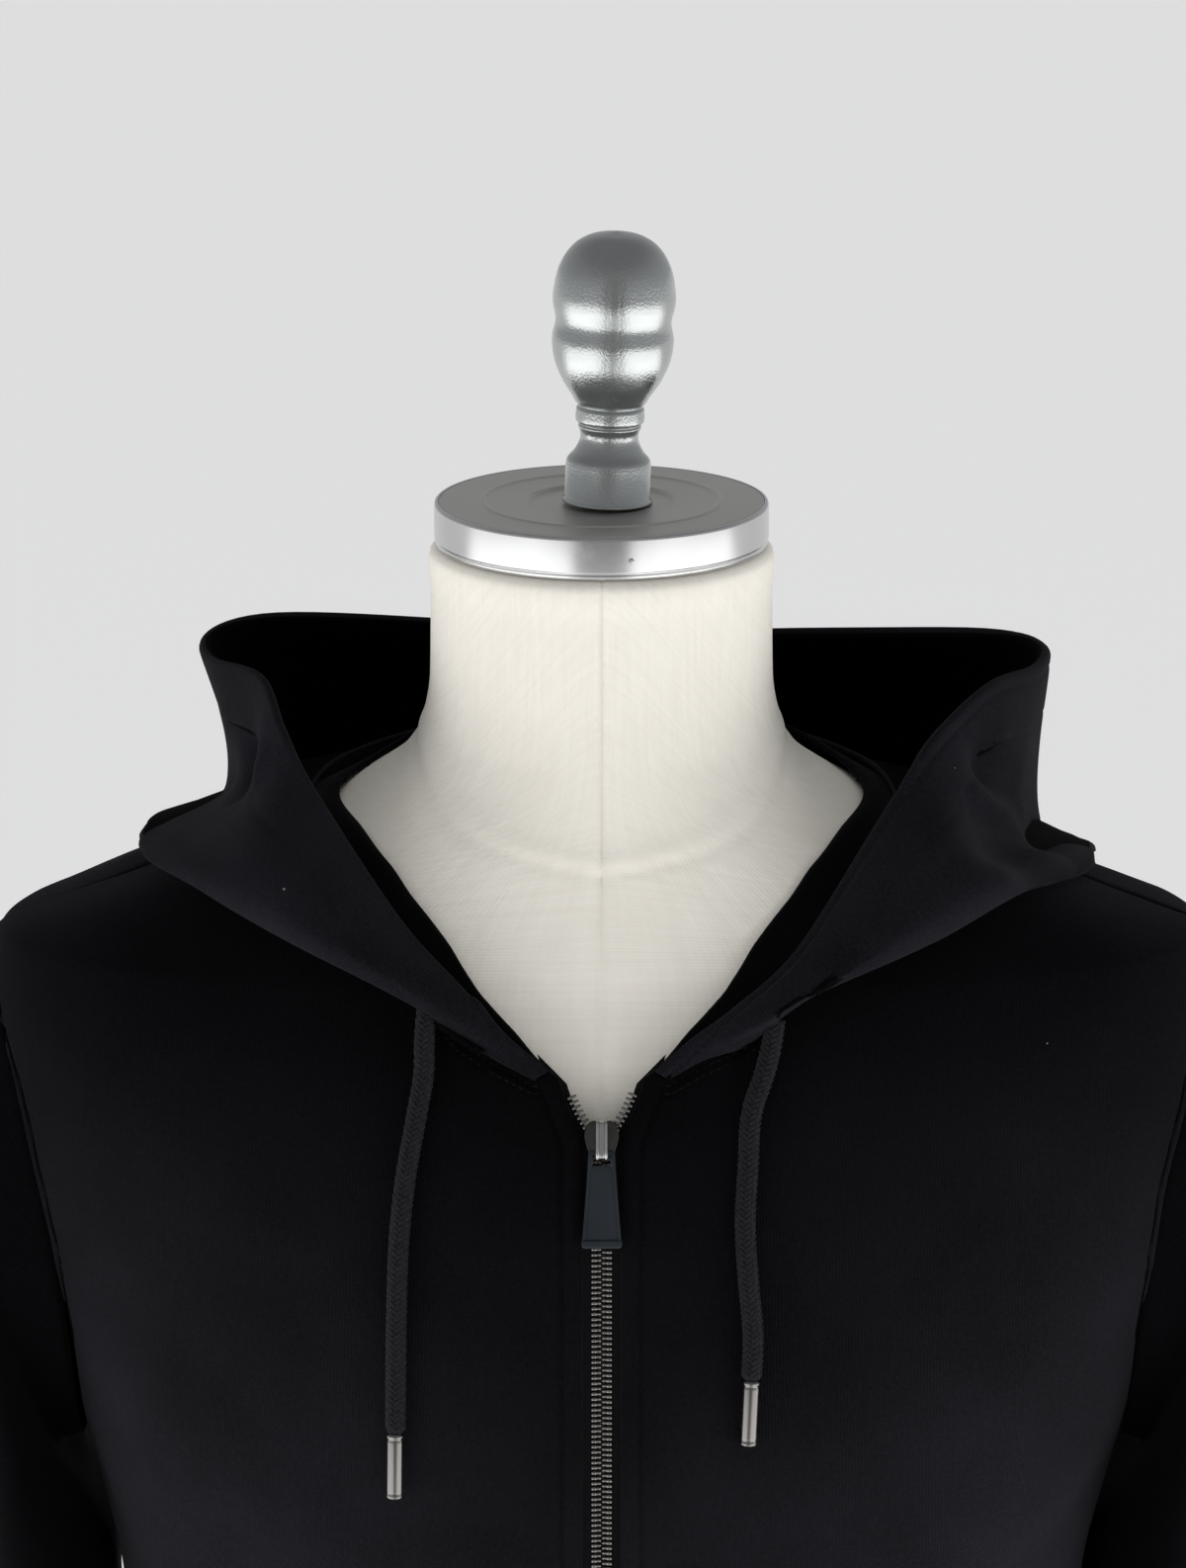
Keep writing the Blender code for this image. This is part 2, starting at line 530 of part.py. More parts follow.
def clear_of_body(point, gap):
    """Moves a point out until it is this far from the body's face."""
    def inside(at):
        depth = column(BODY, "z", "front" if at.y < 0 else "back", at.z)
        square = column(BODY, "z", "square", at.z)
        width = column(BODY, "z", "half_width", at.z)
        return (abs(at.x / width) ** square + abs(at.y / depth) ** square) ** (1 / square)

    step = 0.001
    for _ in range(3):
        here = inside(point)
        slope = Vector([(inside(point + axis * step) - here) / step
                        for axis in (Vector((1, 0, 0)), Vector((0, 1, 0)), Vector((0, 0, 1)))])
        short = gap - (here - 1) / slope.length
        if short > 0:
            point = point + slope.normalized() * short
    return point


def hood_surface(side, rows):
    names = ("under", "roll", "crest", "face", "rim")
    keys = [row.along for row in rows] + [2 * rows[-1].along - rows[-2].along]

    def seam(row):
        angle = math.radians(row.seam_degrees)
        return ring_point(BODY, angle, row.seam_z) + body_normal(angle, row.seam_z) * 2 * SEAM_GAP

    lines = [[seam(row) for row in rows]] + [[Vector(getattr(row, name)) for row in rows] for name in names]
    for line in lines:
        line.append(Vector((-line[-2].x, line[-2].y, line[-2].z)))

    def point_at(u, v):
        across = [hermite(keys, line, u) for line in lines]
        spans = [0.0]
        for before, after in zip(across, across[1:]):
            spans.append(spans[-1] + math.sqrt((after - before).length))
        gap = 5 * SEAM_GAP + column(rows, "along", "stand", u) * min(v / 0.12, 1.0)
        return clear_of_body(hermite(spans, across, v * spans[-1]), gap)

    def surface(u, v):
        point = point_at(u, v)
        step = 0.01
        along = point_at(min(u + step, 1 + step), v) - point_at(max(u - step, 0), v)
        over = point_at(u, min(v + step, 1)) - point_at(u, max(v - step, 0))
        out = along.cross(over).normalized()
        x = max(point.x, SEAM_GAP / 2)
        return Vector((side * x, point.y, point.z)), Vector((side * out.x, out.y, out.z))
    return surface


def tape_surface(side):
    """The tape lies flat behind the front panel's first column."""
    panel = front_surface(side)

    def surface(u, v):
        edge, out = panel(0.0, v)
        across = panel(1 / FRONT_COLUMNS, v)[0] - edge
        inner = column(ZIP, "z", "teeth", edge.z) + TEETH_RADIUS + 2 * SEAM_GAP
        reach = inner + TAPE_WIDTH * u - abs(edge.x)
        point = edge + across * (reach / abs(across.x)) - out * (CLOTH + SEAM_GAP)
        return point, out
    return surface


def teeth_route(side):
    heights = [ZIP_FOOT_Z + (0.836 - ZIP_FOOT_Z) * i / 10 for i in range(11)]
    heights += [0.8385, 0.8405, 0.8425, 0.8445, 0.8470, 0.8500, 0.8540, 0.8575]
    return [front_point(side * column(ZIP, "z", "teeth", z), z, TEETH_DEPTH) for z in heights]


# ---- the zip's slider and pull ------------------------------------------------------------------
def slider_frame():
    """The slider's place: X across, Y into the cloth, Z up along the front."""
    slope = front_point(0, SLIDER_Z + 0.005) - front_point(0, SLIDER_Z - 0.005)
    tilt = Matrix.Rotation(-math.atan2(slope.y, slope.z), 4, "X")
    return Matrix.Translation(front_point(0, SLIDER_Z)) @ tilt


SLIDER_FACE = TEETH_DEPTH - TEETH_RADIUS - SLIDER_ROOM - SLIDER_PLATE
BAR_Y = SLIDER_FACE - PULL_BAR_ROOM


def make_slider(frame, material):
    middle = (SLIDER_UP - SLIDER_DOWN) / 2
    height = SLIDER_UP + SLIDER_DOWN
    taper = SLIDER_FOOT_WIDTH / SLIDER_WIDTH
    plate = (SLIDER_WIDTH, SLIDER_PLATE, height)
    front_plate = block(plate, (0, SLIDER_FACE + SLIDER_PLATE / 2, middle), taper)
    slider = add_object("zip_slider", front_plate, material)
    slider.matrix_world = frame
    chain_back = TEETH_DEPTH + TEETH_RADIUS + SLIDER_ROOM
    back_plate = block(plate, (0, chain_back + SLIDER_PLATE / 2, middle), taper)
    post_depth = chain_back - SLIDER_FACE
    post = block((SLIDER_POST[0], post_depth, SLIDER_POST[1]),
                 (0, SLIDER_FACE + SLIDER_PLATE / 2 + post_depth / 2, SLIDER_POST_UP))
    reach = PULL_BAR_ROOM * 2 + BRIDGE_THICK
    bar_foot = -PULL_BAR_DROP - PULL_BAR_ROOM
    arch = block((BRIDGE_WIDTH, BRIDGE_THICK, SLIDER_UP - bar_foot + BRIDGE_THICK),
                 (0, SLIDER_FACE - reach + BRIDGE_THICK / 2, (SLIDER_UP + bar_foot - BRIDGE_THICK) / 2))
    leg_depth = reach + SLIDER_PLATE / 2
    leg = (BRIDGE_WIDTH * NEARLY, leg_depth, BRIDGE_THICK * NEARLY)
    leg_y = SLIDER_FACE - reach + leg_depth / 2
    high_leg = block(leg, (0, leg_y, SLIDER_UP - BRIDGE_THICK * 0.6))
    low_leg = block(leg, (0, leg_y, bar_foot - BRIDGE_THICK / 2))
    for mesh in (post, back_plate, high_leg, low_leg, arch):
        combine(slider, mesh, "UNION")
    return slider


def make_pull(frame, material):
    """The pull's own origin is on the bar that the bridge holds."""
    bar_top = PULL_BAR / 2
    plate = block((PULL_TOP_WIDTH, PULL_THICK, PULL_LENGTH), (0, 0, bar_top - PULL_LENGTH / 2),
                  PULL_FOOT_WIDTH / PULL_TOP_WIDTH)
    pull = add_object("zip_pull", plate, material)
    pull.matrix_world = frame @ Matrix.Translation((0, BAR_Y, -PULL_BAR_DROP))
    lip_z = bar_top - PULL_LENGTH + PULL_LIP_HEIGHT / 2 - 0.0003
    combine(pull, block((PULL_FOOT_WIDTH * 1.02, PULL_LIP_THICK, PULL_LIP_HEIGHT), (0, 0, lip_z)), "UNION")
    window_z = -PULL_BAR / 2 - PULL_WINDOW_HEIGHT / 2
    window = block((PULL_WINDOW_WIDTH, 4 * PULL_THICK, PULL_WINDOW_HEIGHT), (0, 0, window_z))
    combine(pull, window, "DIFFERENCE")
    return pull


def make_aglet(name, route, material):
    """A metal tip on the cord's end, in line with it."""
    last = Vector(route[-1])
    run = (last - Vector(route[-2])).normalized()
    start = last + run * SEAM_GAP
    return tube(name, [start, start + run * AGLET_LENGTH], AGLET_RADIUS, material)


def smooth_route(points, pieces=13):
    """Points along one smooth curve through a route."""
    route = [Vector(point) for point in points]
    spans = [0.0]
    for before, after in zip(route, route[1:]):
        spans.append(spans[-1] + (after - before).length)
    return [hermite(spans, route, spans[-1] * i / pieces) for i in range(pieces + 1)]


# ---- the whole object ---------------------------------------------------------------------------
for old in list(bpy.data.objects):
    bpy.data.objects.remove(old, do_unlink=True)
PARTS = bpy.data.collections.new("hooded sweater on a dress form")
CUTTERS = bpy.data.collections.new("cutters")
bpy.context.scene.collection.children.link(PARTS)
bpy.context.scene.collection.children.link(CUTTERS)

jersey = new_material("black jersey", (0.012, 0.012, 0.015), 0.85)
cord_black = new_material("black braid", (0.010, 0.010, 0.012), 0.8)
tape_black = new_material("zip tape", (0.008, 0.008, 0.010), 0.8)
canvas = new_material("cream canvas", (0.70, 0.66, 0.60), 0.85)
aluminium = new_material("aluminium", (0.72, 0.73, 0.74), 0.3, 1.0)
gunmetal = new_material("gunmetal", (0.18, 0.18, 0.19), 0.3, 1.0)
rubber = new_material("slate rubber", (0.030, 0.036, 0.042), 0.6)
steel = new_material("painted steel", (0.05, 0.05, 0.055), 0.45)

ringed_solid("form_torso", FORM, 32, 32, canvas)
cap_foot = CAP_TOP_Z - CAP_HEIGHT
cap_profile = [(0, CAP_TOP_Z - 0.0012), (0.0270, CAP_TOP_Z - 0.0012), (0.0280, CAP_TOP_Z),
               (CAP_RADIUS - 0.0008, CAP_TOP_Z), (CAP_RADIUS, CAP_TOP_Z - 0.0008),
               (CAP_RADIUS, cap_foot + 0.0005), (CAP_RADIUS - 0.0005, cap_foot), (0, cap_foot)]
turned("neck_cap", cap_profile, 48, aluminium)
turned("knob", KNOB, 28, aluminium, location=(KNOB_X, 0, KNOB_SEAT_Z), lean=KNOB_LEAN)
plate_profile = [(0, BASE_THICK), (BASE_RADIUS - 0.003, BASE_THICK), (BASE_RADIUS, BASE_THICK - 0.003),
                 (BASE_RADIUS, 0), (0, 0)]
turned("stand_base", plate_profile, 48, steel)
pole_top = FORM_FOOT_Z - SEAM_GAP
turned("stand_pole", [(0, pole_top), (POLE_RADIUS, pole_top), (POLE_RADIUS, BASE_THICK + SEAM_GAP),
                      (0, BASE_THICK + SEAM_GAP)], 24, steel)

slider_place = slider_frame()
for side, name, hood_rows, cord in ((-1, "left", HOOD_LEFT, CORD_LEFT), (1, "right", HOOD_RIGHT, CORD_RIGHT)):
    cloth_wall(f"front_{name}", FRONT_COLUMNS, BODY_ROWS, front_surface(side), jersey)
    cloth_wall(f"sleeve_{name}", SLEEVE_COLUMNS, SLEEVE_ROWS, sleeve_surface(side), jersey, closed=True)
    cloth_wall(f"hood_{name}", HOOD_COLUMNS, HOOD_ROWS, hood_surface(side, hood_rows), jersey)
    cloth_wall(f"zip_tape_{name}", 1, BODY_ROWS, tape_surface(side), tape_black, thickness=TAPE_THICK)
    tube(f"zip_teeth_{name}", teeth_route(side), TEETH_RADIUS, gunmetal)
    tube(f"cord_{name}", smooth_route(cord), CORD_DIAMETER / 2, cord_black)
    make_aglet(f"aglet_{name}", cord, gunmetal)
cloth_wall("back", BACK_COLUMNS, BODY_ROWS, back_surface, jersey)
box_place = front_point(0, ZIP_FOOT_Z - SEAM_GAP - BOX_SIZE[2] / 2, TEETH_DEPTH)
add_object("zip_box", block(BOX_SIZE, box_place), gunmetal)
make_slider(slider_place, gunmetal)
make_pull(slider_place, rubber)
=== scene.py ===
"""Looks for a hooded full-zip sweater of black jersey on a cream dress form with a metal cap and knob.

Metres, +Z up, the front faces -Y. Left and right are as seen from the front, so left is -X.
"""

import math
from collections import namedtuple

import bmesh
import bpy
import numpy as np
from mathutils import Matrix, Vector


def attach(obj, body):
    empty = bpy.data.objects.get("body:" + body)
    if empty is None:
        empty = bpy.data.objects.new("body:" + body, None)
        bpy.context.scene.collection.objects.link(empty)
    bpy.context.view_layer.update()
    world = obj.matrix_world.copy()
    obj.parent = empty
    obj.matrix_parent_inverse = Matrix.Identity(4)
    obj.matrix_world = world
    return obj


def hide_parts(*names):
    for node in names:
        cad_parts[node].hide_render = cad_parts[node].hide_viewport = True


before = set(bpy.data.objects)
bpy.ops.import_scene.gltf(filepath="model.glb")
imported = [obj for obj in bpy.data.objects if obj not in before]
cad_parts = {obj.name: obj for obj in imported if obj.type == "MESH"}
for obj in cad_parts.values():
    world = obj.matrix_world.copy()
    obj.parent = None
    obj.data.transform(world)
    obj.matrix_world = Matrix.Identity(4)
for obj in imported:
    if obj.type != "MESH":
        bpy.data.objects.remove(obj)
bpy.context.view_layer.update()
BODY_NAME = "garment_on_form"

# ---- the cut: the same dimensions as the solids ----
CLOTH = 0.0014           # visible wall of the jersey
SEAM_GAP = 0.0003
SLEEVE_GAP = 0.0008
FIRST_SECTION = 0.03     # share of the sleeve's running length given to its head
HEM_Z = 0.290
NECK_POINT_Z = 0.945
ARMHOLE_TOP_Z = 0.8890
ARMHOLE_BOTTOM_Z = 0.690
ARMHOLE_FRONT, ARMHOLE_BACK = 0.056, 0.058
ARMHOLE_Z = (ARMHOLE_TOP_Z + ARMHOLE_BOTTOM_Z) / 2
ARMHOLE_HALF = (ARMHOLE_TOP_Z - ARMHOLE_BOTTOM_Z) / 2
SLIDER_Z = 0.8413
TEETH_DEPTH = 0.0024
ZIP_FOOT_Z = HEM_Z + 0.0065
CORD_DIAMETER = 0.0078
CAP_RADIUS, CAP_TOP_Z, CAP_HEIGHT = 0.0612, 1.0495, 0.0160
KNOB_X, KNOB_SEAT_Z, KNOB_LEAN = 0.0020, 1.0492, math.radians(2.0)
FORM_FOOT_Z = 0.250
POLE_RADIUS, BASE_RADIUS, BASE_THICK = 0.016, 0.180, 0.012
TEETH_RADIUS, SLIDER_ROOM, SLIDER_PLATE = 0.0017, 0.0005, 0.0012
SLIDER_FACE = TEETH_DEPTH - TEETH_RADIUS - SLIDER_ROOM - SLIDER_PLATE
BRIDGE_THICK, PULL_BAR_ROOM, PULL_BAR, PULL_BAR_DROP = 0.0011, 0.0013, 0.0014, 0.0053
BAR_Y = SLIDER_FACE - PULL_BAR_ROOM
PULL_LENGTH, PULL_TOP_WIDTH, PULL_FOOT_WIDTH, PULL_THICK = 0.0345, 0.0095, 0.0145, 0.0016
PULL_LIP_THICK, PULL_WINDOW_HEIGHT = 0.0026, 0.0042
TAPE_WIDTH, BOX_SIZE = 0.0105, (0.0068, 0.0036, 0.0078)
STITCH_PITCH, STITCH_LENGTH, STITCH_RADIUS = 0.0030, 0.0024, 0.00022

# ---- camera and light ----
CAMERA_RISE = math.radians(15.2)
CAMERA_DISTANCE, CAMERA_TARGET = 2.6, (-0.0031, 0.0, 0.942)
CAMERA_LENS = 107.8
HORIZON_LIGHT, SKY_LIGHT, OVERHEAD_LIGHT, OVERHEAD_TILT = 0.48, 0.24, 0.85, 60
FLOOR_GLOW, FLOOR_POOLS = 0.50, 1.15
SOFTBOXES = [      # name, place, size, power
    ("left box", (-2.05, -0.70, 0.60), (2.3, 1.2), 22.0),
    ("right box", (2.05, -0.80, 0.60), (2.3, 1.2), 21.0),
]
SOFTBOX_TARGET = Vector((0, 0, 0.85))
CAP_PEG_TURN = math.radians(10.0)
FORM_NECK_SEAM = [      # degrees from the front's middle, height
    (0, 0.9275), (16, 0.9335), (32, 0.9405), (50, 0.9490), (73, 0.9585), (90, 0.9620), (180, 0.9680),
]

# ---- tables: whole numbers, lengths in tenths of a millimetre ----
TENTHS = 10000           # tenths of a millimetre in a metre


def rows_of(row_type, scales, rows):
    """A table's rows, each column divided by its scale."""
    return [row_type(*(value / scale for value, scale in zip(row, scales))) for row in rows]


def triples(row, start=0):
    """A row of tenths of a millimetre from one place on, as points in metres."""
    metres = [value / TENTHS for value in row[start:]]
    return [tuple(metres[i:i + 3]) for i in range(0, len(metres), 3)]


Ring = namedtuple("Ring", "z half_width front back square")
RING_SCALES = (TENTHS, TENTHS, TENTHS, TENTHS, 100)
BODY = rows_of(Ring, RING_SCALES, [
    (2900, 1860, 1280, 1240, 230), (3600, 1880, 1330, 1270, 230), (4500, 1850, 1340, 1240, 230),
    (5400, 1810, 1340, 1210, 230), (6000, 1800, 1340, 1200, 230), (6500, 1845, 1340, 1210, 230),
    (7000, 1960, 1330, 1230, 230), (7500, 2085, 1290, 1240, 230), (8000, 2210, 1220, 1220, 230),
    (8350, 2270, 1140, 1180, 230), (8580, 2285, 1065, 1130, 230), (8770, 2265, 990, 1065, 230),
    (8890, 2225, 940, 1010, 230), (8955, 2085, 908, 978, 230), (9065, 1800, 858, 925, 228),
    (9190, 1500, 808, 875, 225), (9320, 1200, 765, 835, 220), (9440, 970, 733, 800, 214),
    (9550, 805, 715, 770, 208), (9650, 715, 700, 740, 200),
])
FORM = rows_of(Ring, RING_SCALES, [
    (2500, 1700, 1150, 1100, 220), (3000, 1720, 1180, 1130, 220), (3700, 1700, 1180, 1130, 220),
    (4500, 1600, 1140, 1040, 220), (5300, 1520, 1120, 950, 220), (6000, 1580, 1160, 960, 220),
    (6600, 1690, 1190, 1010, 220), (7200, 1810, 1200, 1080, 225), (7800, 1930, 1140, 1100, 228),
    (8300, 2020, 1050, 1080, 230), (8560, 2060, 965, 1040, 230), (8740, 2060, 900, 990, 230),
    (8860, 2010, 855, 950, 230), (8945, 1920, 835, 930, 230), (9065, 1715, 800, 880, 228),
    (9190, 1425, 762, 830, 225), (9320, 1128, 724, 785, 220), (9440, 885, 688, 745, 214),
    (9550, 730, 665, 705, 208), (9670, 662, 645, 665, 200), (9850, 630, 630, 635, 200),
    (10100, 626, 626, 626, 200), (10332, 622, 622, 622, 200),
])
NecklineRow = namedtuple("NecklineRow", "degrees z")
NECKLINE = rows_of(NecklineRow, (10, TENTHS), [
    (0, 8590), (26, 8625), (62, 8785), (100, 8935), (150, 9060), (230, 9180), (360, 9300), (580, 9400),
    (900, 9450), (1150, 9510), (1500, 9590), (1800, 9610),
])
SleeveRow = namedtuple("SleeveRow", "out z tilt half_height half_depth back_by")
SLEEVE = rows_of(SleeveRow, (TENTHS, TENTHS, 1, TENTHS, TENTHS, TENTHS), [
    (2235, 7760, 77, 930, 600, 30), (2225, 7400, 67, 740, 700, 70), (2160, 6860, 50, 500, 780, 110),
    (2120, 6260, 24, 320, 800, 140), (2110, 5600, 6, 285, 780, 140), (2140, 4800, 0, 265, 720, 100),
    (2165, 3800, 0, 250, 640, 30), (2155, 2720, 0, 235, 540, -60),
])
HoodRow = namedtuple("HoodRow", "along seam_degrees seam_z stand under roll crest face rim")


def hood_rows(rows):
    """Share along the seam, the seam's degrees in tenths and height, the stand, then five points."""
    return [HoodRow(row[0] / 100, row[1] / 10, row[2] / TENTHS, row[3] / TENTHS, *triples(row, 4))
            for row in rows]


HOOD_LEFT = hood_rows([
    (0, 43, 8603, 13,
     236, -1076, 8618, 229, -1077, 8625, 218, -1077, 8633, 204, -1074, 8639, 190, -1068, 8648),
    (7, 72, 8668, 40,
     377, -1059, 8690, 377, -1065, 8707, 370, -1064, 8725, 356, -1054, 8747, 338, -1028, 8769),
    (14, 102, 8745, 66,
     525, -1040, 8765, 525, -1070, 8800, 508, -1088, 8832, 482, -1070, 8865, 444, -1000, 8895),
    (28, 200, 9050, 66,
     860, -930, 9030, 890, -1010, 8998, 860, -1065, 9052, 790, -1010, 9100, 700, -860, 9140),
    (42, 410, 9240, 66,
     1310, -560, 9180, 1425, -660, 9195, 1400, -740, 9260, 1210, -740, 9400, 1000, -560, 9510),
    (54, 750, 9370, 66,
     1480, -160, 9290, 1690, -240, 9235, 1610, -310, 9280, 1335, -350, 9450, 1170, -350, 9740),
    (61, 920, 9398, 66,
     1499, 77, 9310, 1687, 57, 9255, 1590, -12, 9290, 1355, -120, 9440, 1265, -80, 9862),
    (68, 1100, 9410, 66,
     1450, 330, 9270, 1590, 400, 9190, 1510, 360, 9250, 1360, 160, 9400, 1470, 280, 9830),
    (84, 1450, 9460, 66,
     1050, 1010, 8850, 1100, 1380, 8300, 1270, 1620, 8600, 1310, 1380, 9330, 1270, 930, 9850),
    (100, 1800, 9530, 66,
     0, 1240, 8600, 0, 1600, 7670, 0, 1950, 7950, 0, 2020, 9050, 0, 1480, 9670),
])
HOOD_RIGHT = hood_rows([
    (0, 43, 8603, 6,
     234, -1076, 8618, 227, -1077, 8625, 216, -1077, 8633, 202, -1074, 8639, 188, -1068, 8648),
    (7, 70, 8668, 16,
     365, -1059, 8690, 365, -1065, 8707, 357, -1065, 8725, 343, -1054, 8748, 326, -1029, 8769),
    (14, 102, 8720, 30,
     525, -1045, 8735, 530, -1080, 8776, 515, -1100, 8800, 490, -1070, 8840, 455, -995, 8865),
    (28, 200, 9040, 30,
     845, -940, 9000, 880, -1020, 8952, 852, -1085, 8998, 790, -1020, 9040, 700, -860, 9065),
    (42, 410, 9240, 30,
     1300, -580, 9150, 1420, -690, 9150, 1400, -780, 9240, 1230, -740, 9390, 1035, -560, 9510),
    (54, 750, 9370, 30,
     1480, -220, 9210, 1630, -340, 9135, 1590, -440, 9165, 1458, -430, 9295, 1240, -380, 9740),
    (61, 920, 9398, 30,
     1620, 39, 9160, 1785, -70, 9090, 1735, -180, 9140, 1570, -220, 9265, 1445, -60, 9831),
    (68, 1100, 9410, 36,
     1600, 300, 9110, 1790, 260, 8990, 1760, 160, 9050, 1600, 120, 9170, 1640, 300, 9800),
    (76, 1280, 9435, 66,
     1450, 720, 9000, 1640, 880, 8720, 1710, 860, 8760, 1660, 740, 9200, 1680, 680, 9790),
    (84, 1450, 9460, 66,
     1100, 1010, 8850, 1180, 1380, 8350, 1400, 1600, 8650, 1510, 1350, 9330, 1500, 960, 9780),
    (100, 1800, 9530, 66,
     0, 1240, 8600, 0, 1600, 7670, 0, 1950, 7950, 0, 2020, 9050, 0, 1480, 9640),
])
TurnedRow = namedtuple("TurnedRow", "radius z")
KNOB = rows_of(TurnedRow, (TENTHS, TENTHS), [
    (0, 1000), (95, 982), (160, 940), (203, 870), (221, 790), (223, 735), (211, 672), (222, 600),
    (211, 525), (180, 452), (142, 394), (125, 366), (126, 310), (120, 290), (107, 255), (109, 225),
    (128, 186), (150, 160), (156, 140), (156, 0), (0, 0),
])
ZipRow = namedtuple("ZipRow", "z teeth edge")
ZIP = rows_of(ZipRow, (TENTHS, 10 * TENTHS, TENTHS), [
    (2900, 185, 68), (8360, 185, 68), (8405, 250, 71), (8445, 460, 84), (8500, 800, 110),
    (8575, 1160, 140), (8640, 1400, 158),
])
# where each cord enters under the roll, then its way down from the roll's edge
CORD_LEFT = triples((
    -625, -1010, 8860, -634, -1045, 8755, -635, -1072, 8655, -663, -1120, 8489, -695, -1163, 8318,
    -722, -1208, 8100, -734, -1247, 7850, -738, -1275, 7600, -741, -1299, 7354))
CORD_RIGHT = triples((
    620, -1015, 8820, 603, -1047, 8715, 575, -1083, 8620, 541, -1117, 8529, 523, -1176, 8319,
    513, -1225, 8106, 524, -1257, 7927, 542, -1288, 7706, 536, -1304, 7558))

# ---- creases: start, middle and end of a soft line, its width and how far it stands out ----
Crease = namedtuple("Crease", "start middle end width depth")


def crease_rows(scales, rows):
    """Creases from rows of three places, with their own scales, then the width and the depth."""
    size = len(scales)
    made = []
    for row in rows:
        places = [tuple(row[i + j] / scales[j] for j in range(size)) for i in range(0, 3 * size, size)]
        made.append(Crease(*places, row[-2] / TENTHS, row[-1] / TENTHS))
    return made


NECK_STITCHES = (0.0016, 0.0044)     # twin stitching below the hood's seam
# on the body: degrees from the front's middle towards +X, and height in millimetres
ON_BODY = (1, 1000)
FRONT_CREASES = crease_rows(ON_BODY, [
    (82, 520, 62, 500, 44, 515, 110, -42), (84, 475, 66, 460, 48, 472, 90, 26),
    (80, 430, 58, 405, 33, 400, 130, -34), (86, 575, 74, 552, 61, 562, 80, -30),
    (57, 300, 54, 345, 60, 400, 120, -28), (30, 320, 25, 365, 29, 415, 100, 22),
    (79, 700, 66, 672, 49, 668, 130, -20), (-84, 535, -64, 505, -42, 500, 120, -40),
    (-80, 482, -62, 470, -50, 485, 80, 24), (-86, 445, -66, 415, -40, 425, 100, -36),
    (-82, 385, -58, 362, -30, 372, 130, -30), (-85, 590, -75, 560, -58, 552, 90, -32),
    (-62, 295, -66, 330, -61, 370, 100, 24), (-33, 310, -38, 350, -34, 410, 120, -24),
    (-80, 690, -68, 655, -52, 645, 140, -18),
])
BACK_CREASES = crease_rows(ON_BODY, [
    (104, 520, 132, 498, 160, 512, 120, -46), (108, 462, 128, 448, 150, 444, 100, 28),
    (98, 582, 118, 562, 139, 572, 90, -32), (118, 402, 150, 378, 186, 386, 140, -36),
    (255, 500, 229, 484, 199, 500, 120, -44), (252, 448, 230, 428, 206, 440, 100, -34),
    (262, 560, 244, 542, 221, 556, 90, -30), (246, 392, 226, 372, 208, 378, 100, 26),
    (119, 800, 134, 742, 149, 700, 170, 22), (242, 790, 229, 736, 213, 702, 170, 20),
    (126, 760, 142, 700, 160, 668, 140, -24), (236, 748, 222, 694, 204, 662, 140, -22),
    (150, 300, 154, 342, 148, 390, 120, -30), (212, 292, 207, 332, 214, 378, 110, 24),
])
# on a sleeve: percent of the way round from its outer side towards the front, and of its length
ON_SLEEVE = (100, 100)
SLEEVE_CREASES_LEFT = crease_rows(ON_SLEEVE, [
    (5, 47, 20, 50, 38, 49, 90, -42), (8, 53, 22, 56, 40, 54, 80, -36), (12, 44, 26, 43, 36, 45, 70, 22),
    (60, 60, 78, 57, 92, 60, 90, -36), (58, 48, 72, 50, 88, 47, 100, -28),
    (62, 82, 80, 84, 95, 82, 70, -32), (5, 86, 22, 84, 40, 87, 70, -34), (10, 91, 25, 90, 42, 92, 60, -28),
    (55, 90, 72, 91, 90, 89, 60, -26), (70, 10, 80, 19, 86, 30, 110, -34),
    (4, 68, 14, 72, 20, 79, 100, -28),
])
SLEEVE_CREASES_RIGHT = crease_rows(ON_SLEEVE, [
    (7, 50, 22, 52, 41, 50, 90, -44), (6, 56, 20, 60, 36, 58, 90, -34), (14, 46, 27, 46, 37, 47, 60, 22),
    (59, 55, 75, 53, 93, 56, 90, -38), (60, 64, 74, 66, 86, 63, 100, -26),
    (64, 85, 78, 87, 93, 84, 70, -34), (3, 83, 20, 82, 37, 85, 70, -30), (8, 89, 24, 88, 40, 90, 60, -32),
    (56, 92, 70, 91, 86, 92, 60, -24), (69, 13, 79, 22, 83, 34, 120, -30),
    (95, 66, 85, 71, 80, 78, 100, -30),
])
# on the hood, in the part's own frame
IN_SPACE = (TENTHS, TENTHS, TENTHS)
HOOD_CREASES_LEFT = crease_rows(IN_SPACE, [
    (-1299, -97, 9646, -1320, -98, 9535, -1289, -330, 9497, 90, -110),
    (-1251, -228, 9690, -1219, -421, 9578, -1317, -341, 9474, 50, 24),
    (-1406, 159, 9726, -1381, 131, 9607, -1383, 426, 9376, 60, 12),
    (-1585, -254, 9298, -1449, -606, 9325, -1298, -768, 9333, 70, -16),
    (-1237, -585, 9470, -1100, -790, 9372, -914, -925, 9215, 80, -12),
    (-1084, -911, 9247, -935, -1022, 9114, -724, -1086, 9006, 60, -10),
    (-900, 1750, 9100, -500, 1950, 8850, -150, 2000, 8900, 110, -45),
    (-1300, 1500, 9400, -1100, 1700, 9000, -800, 1850, 8500, 90, 30),
])
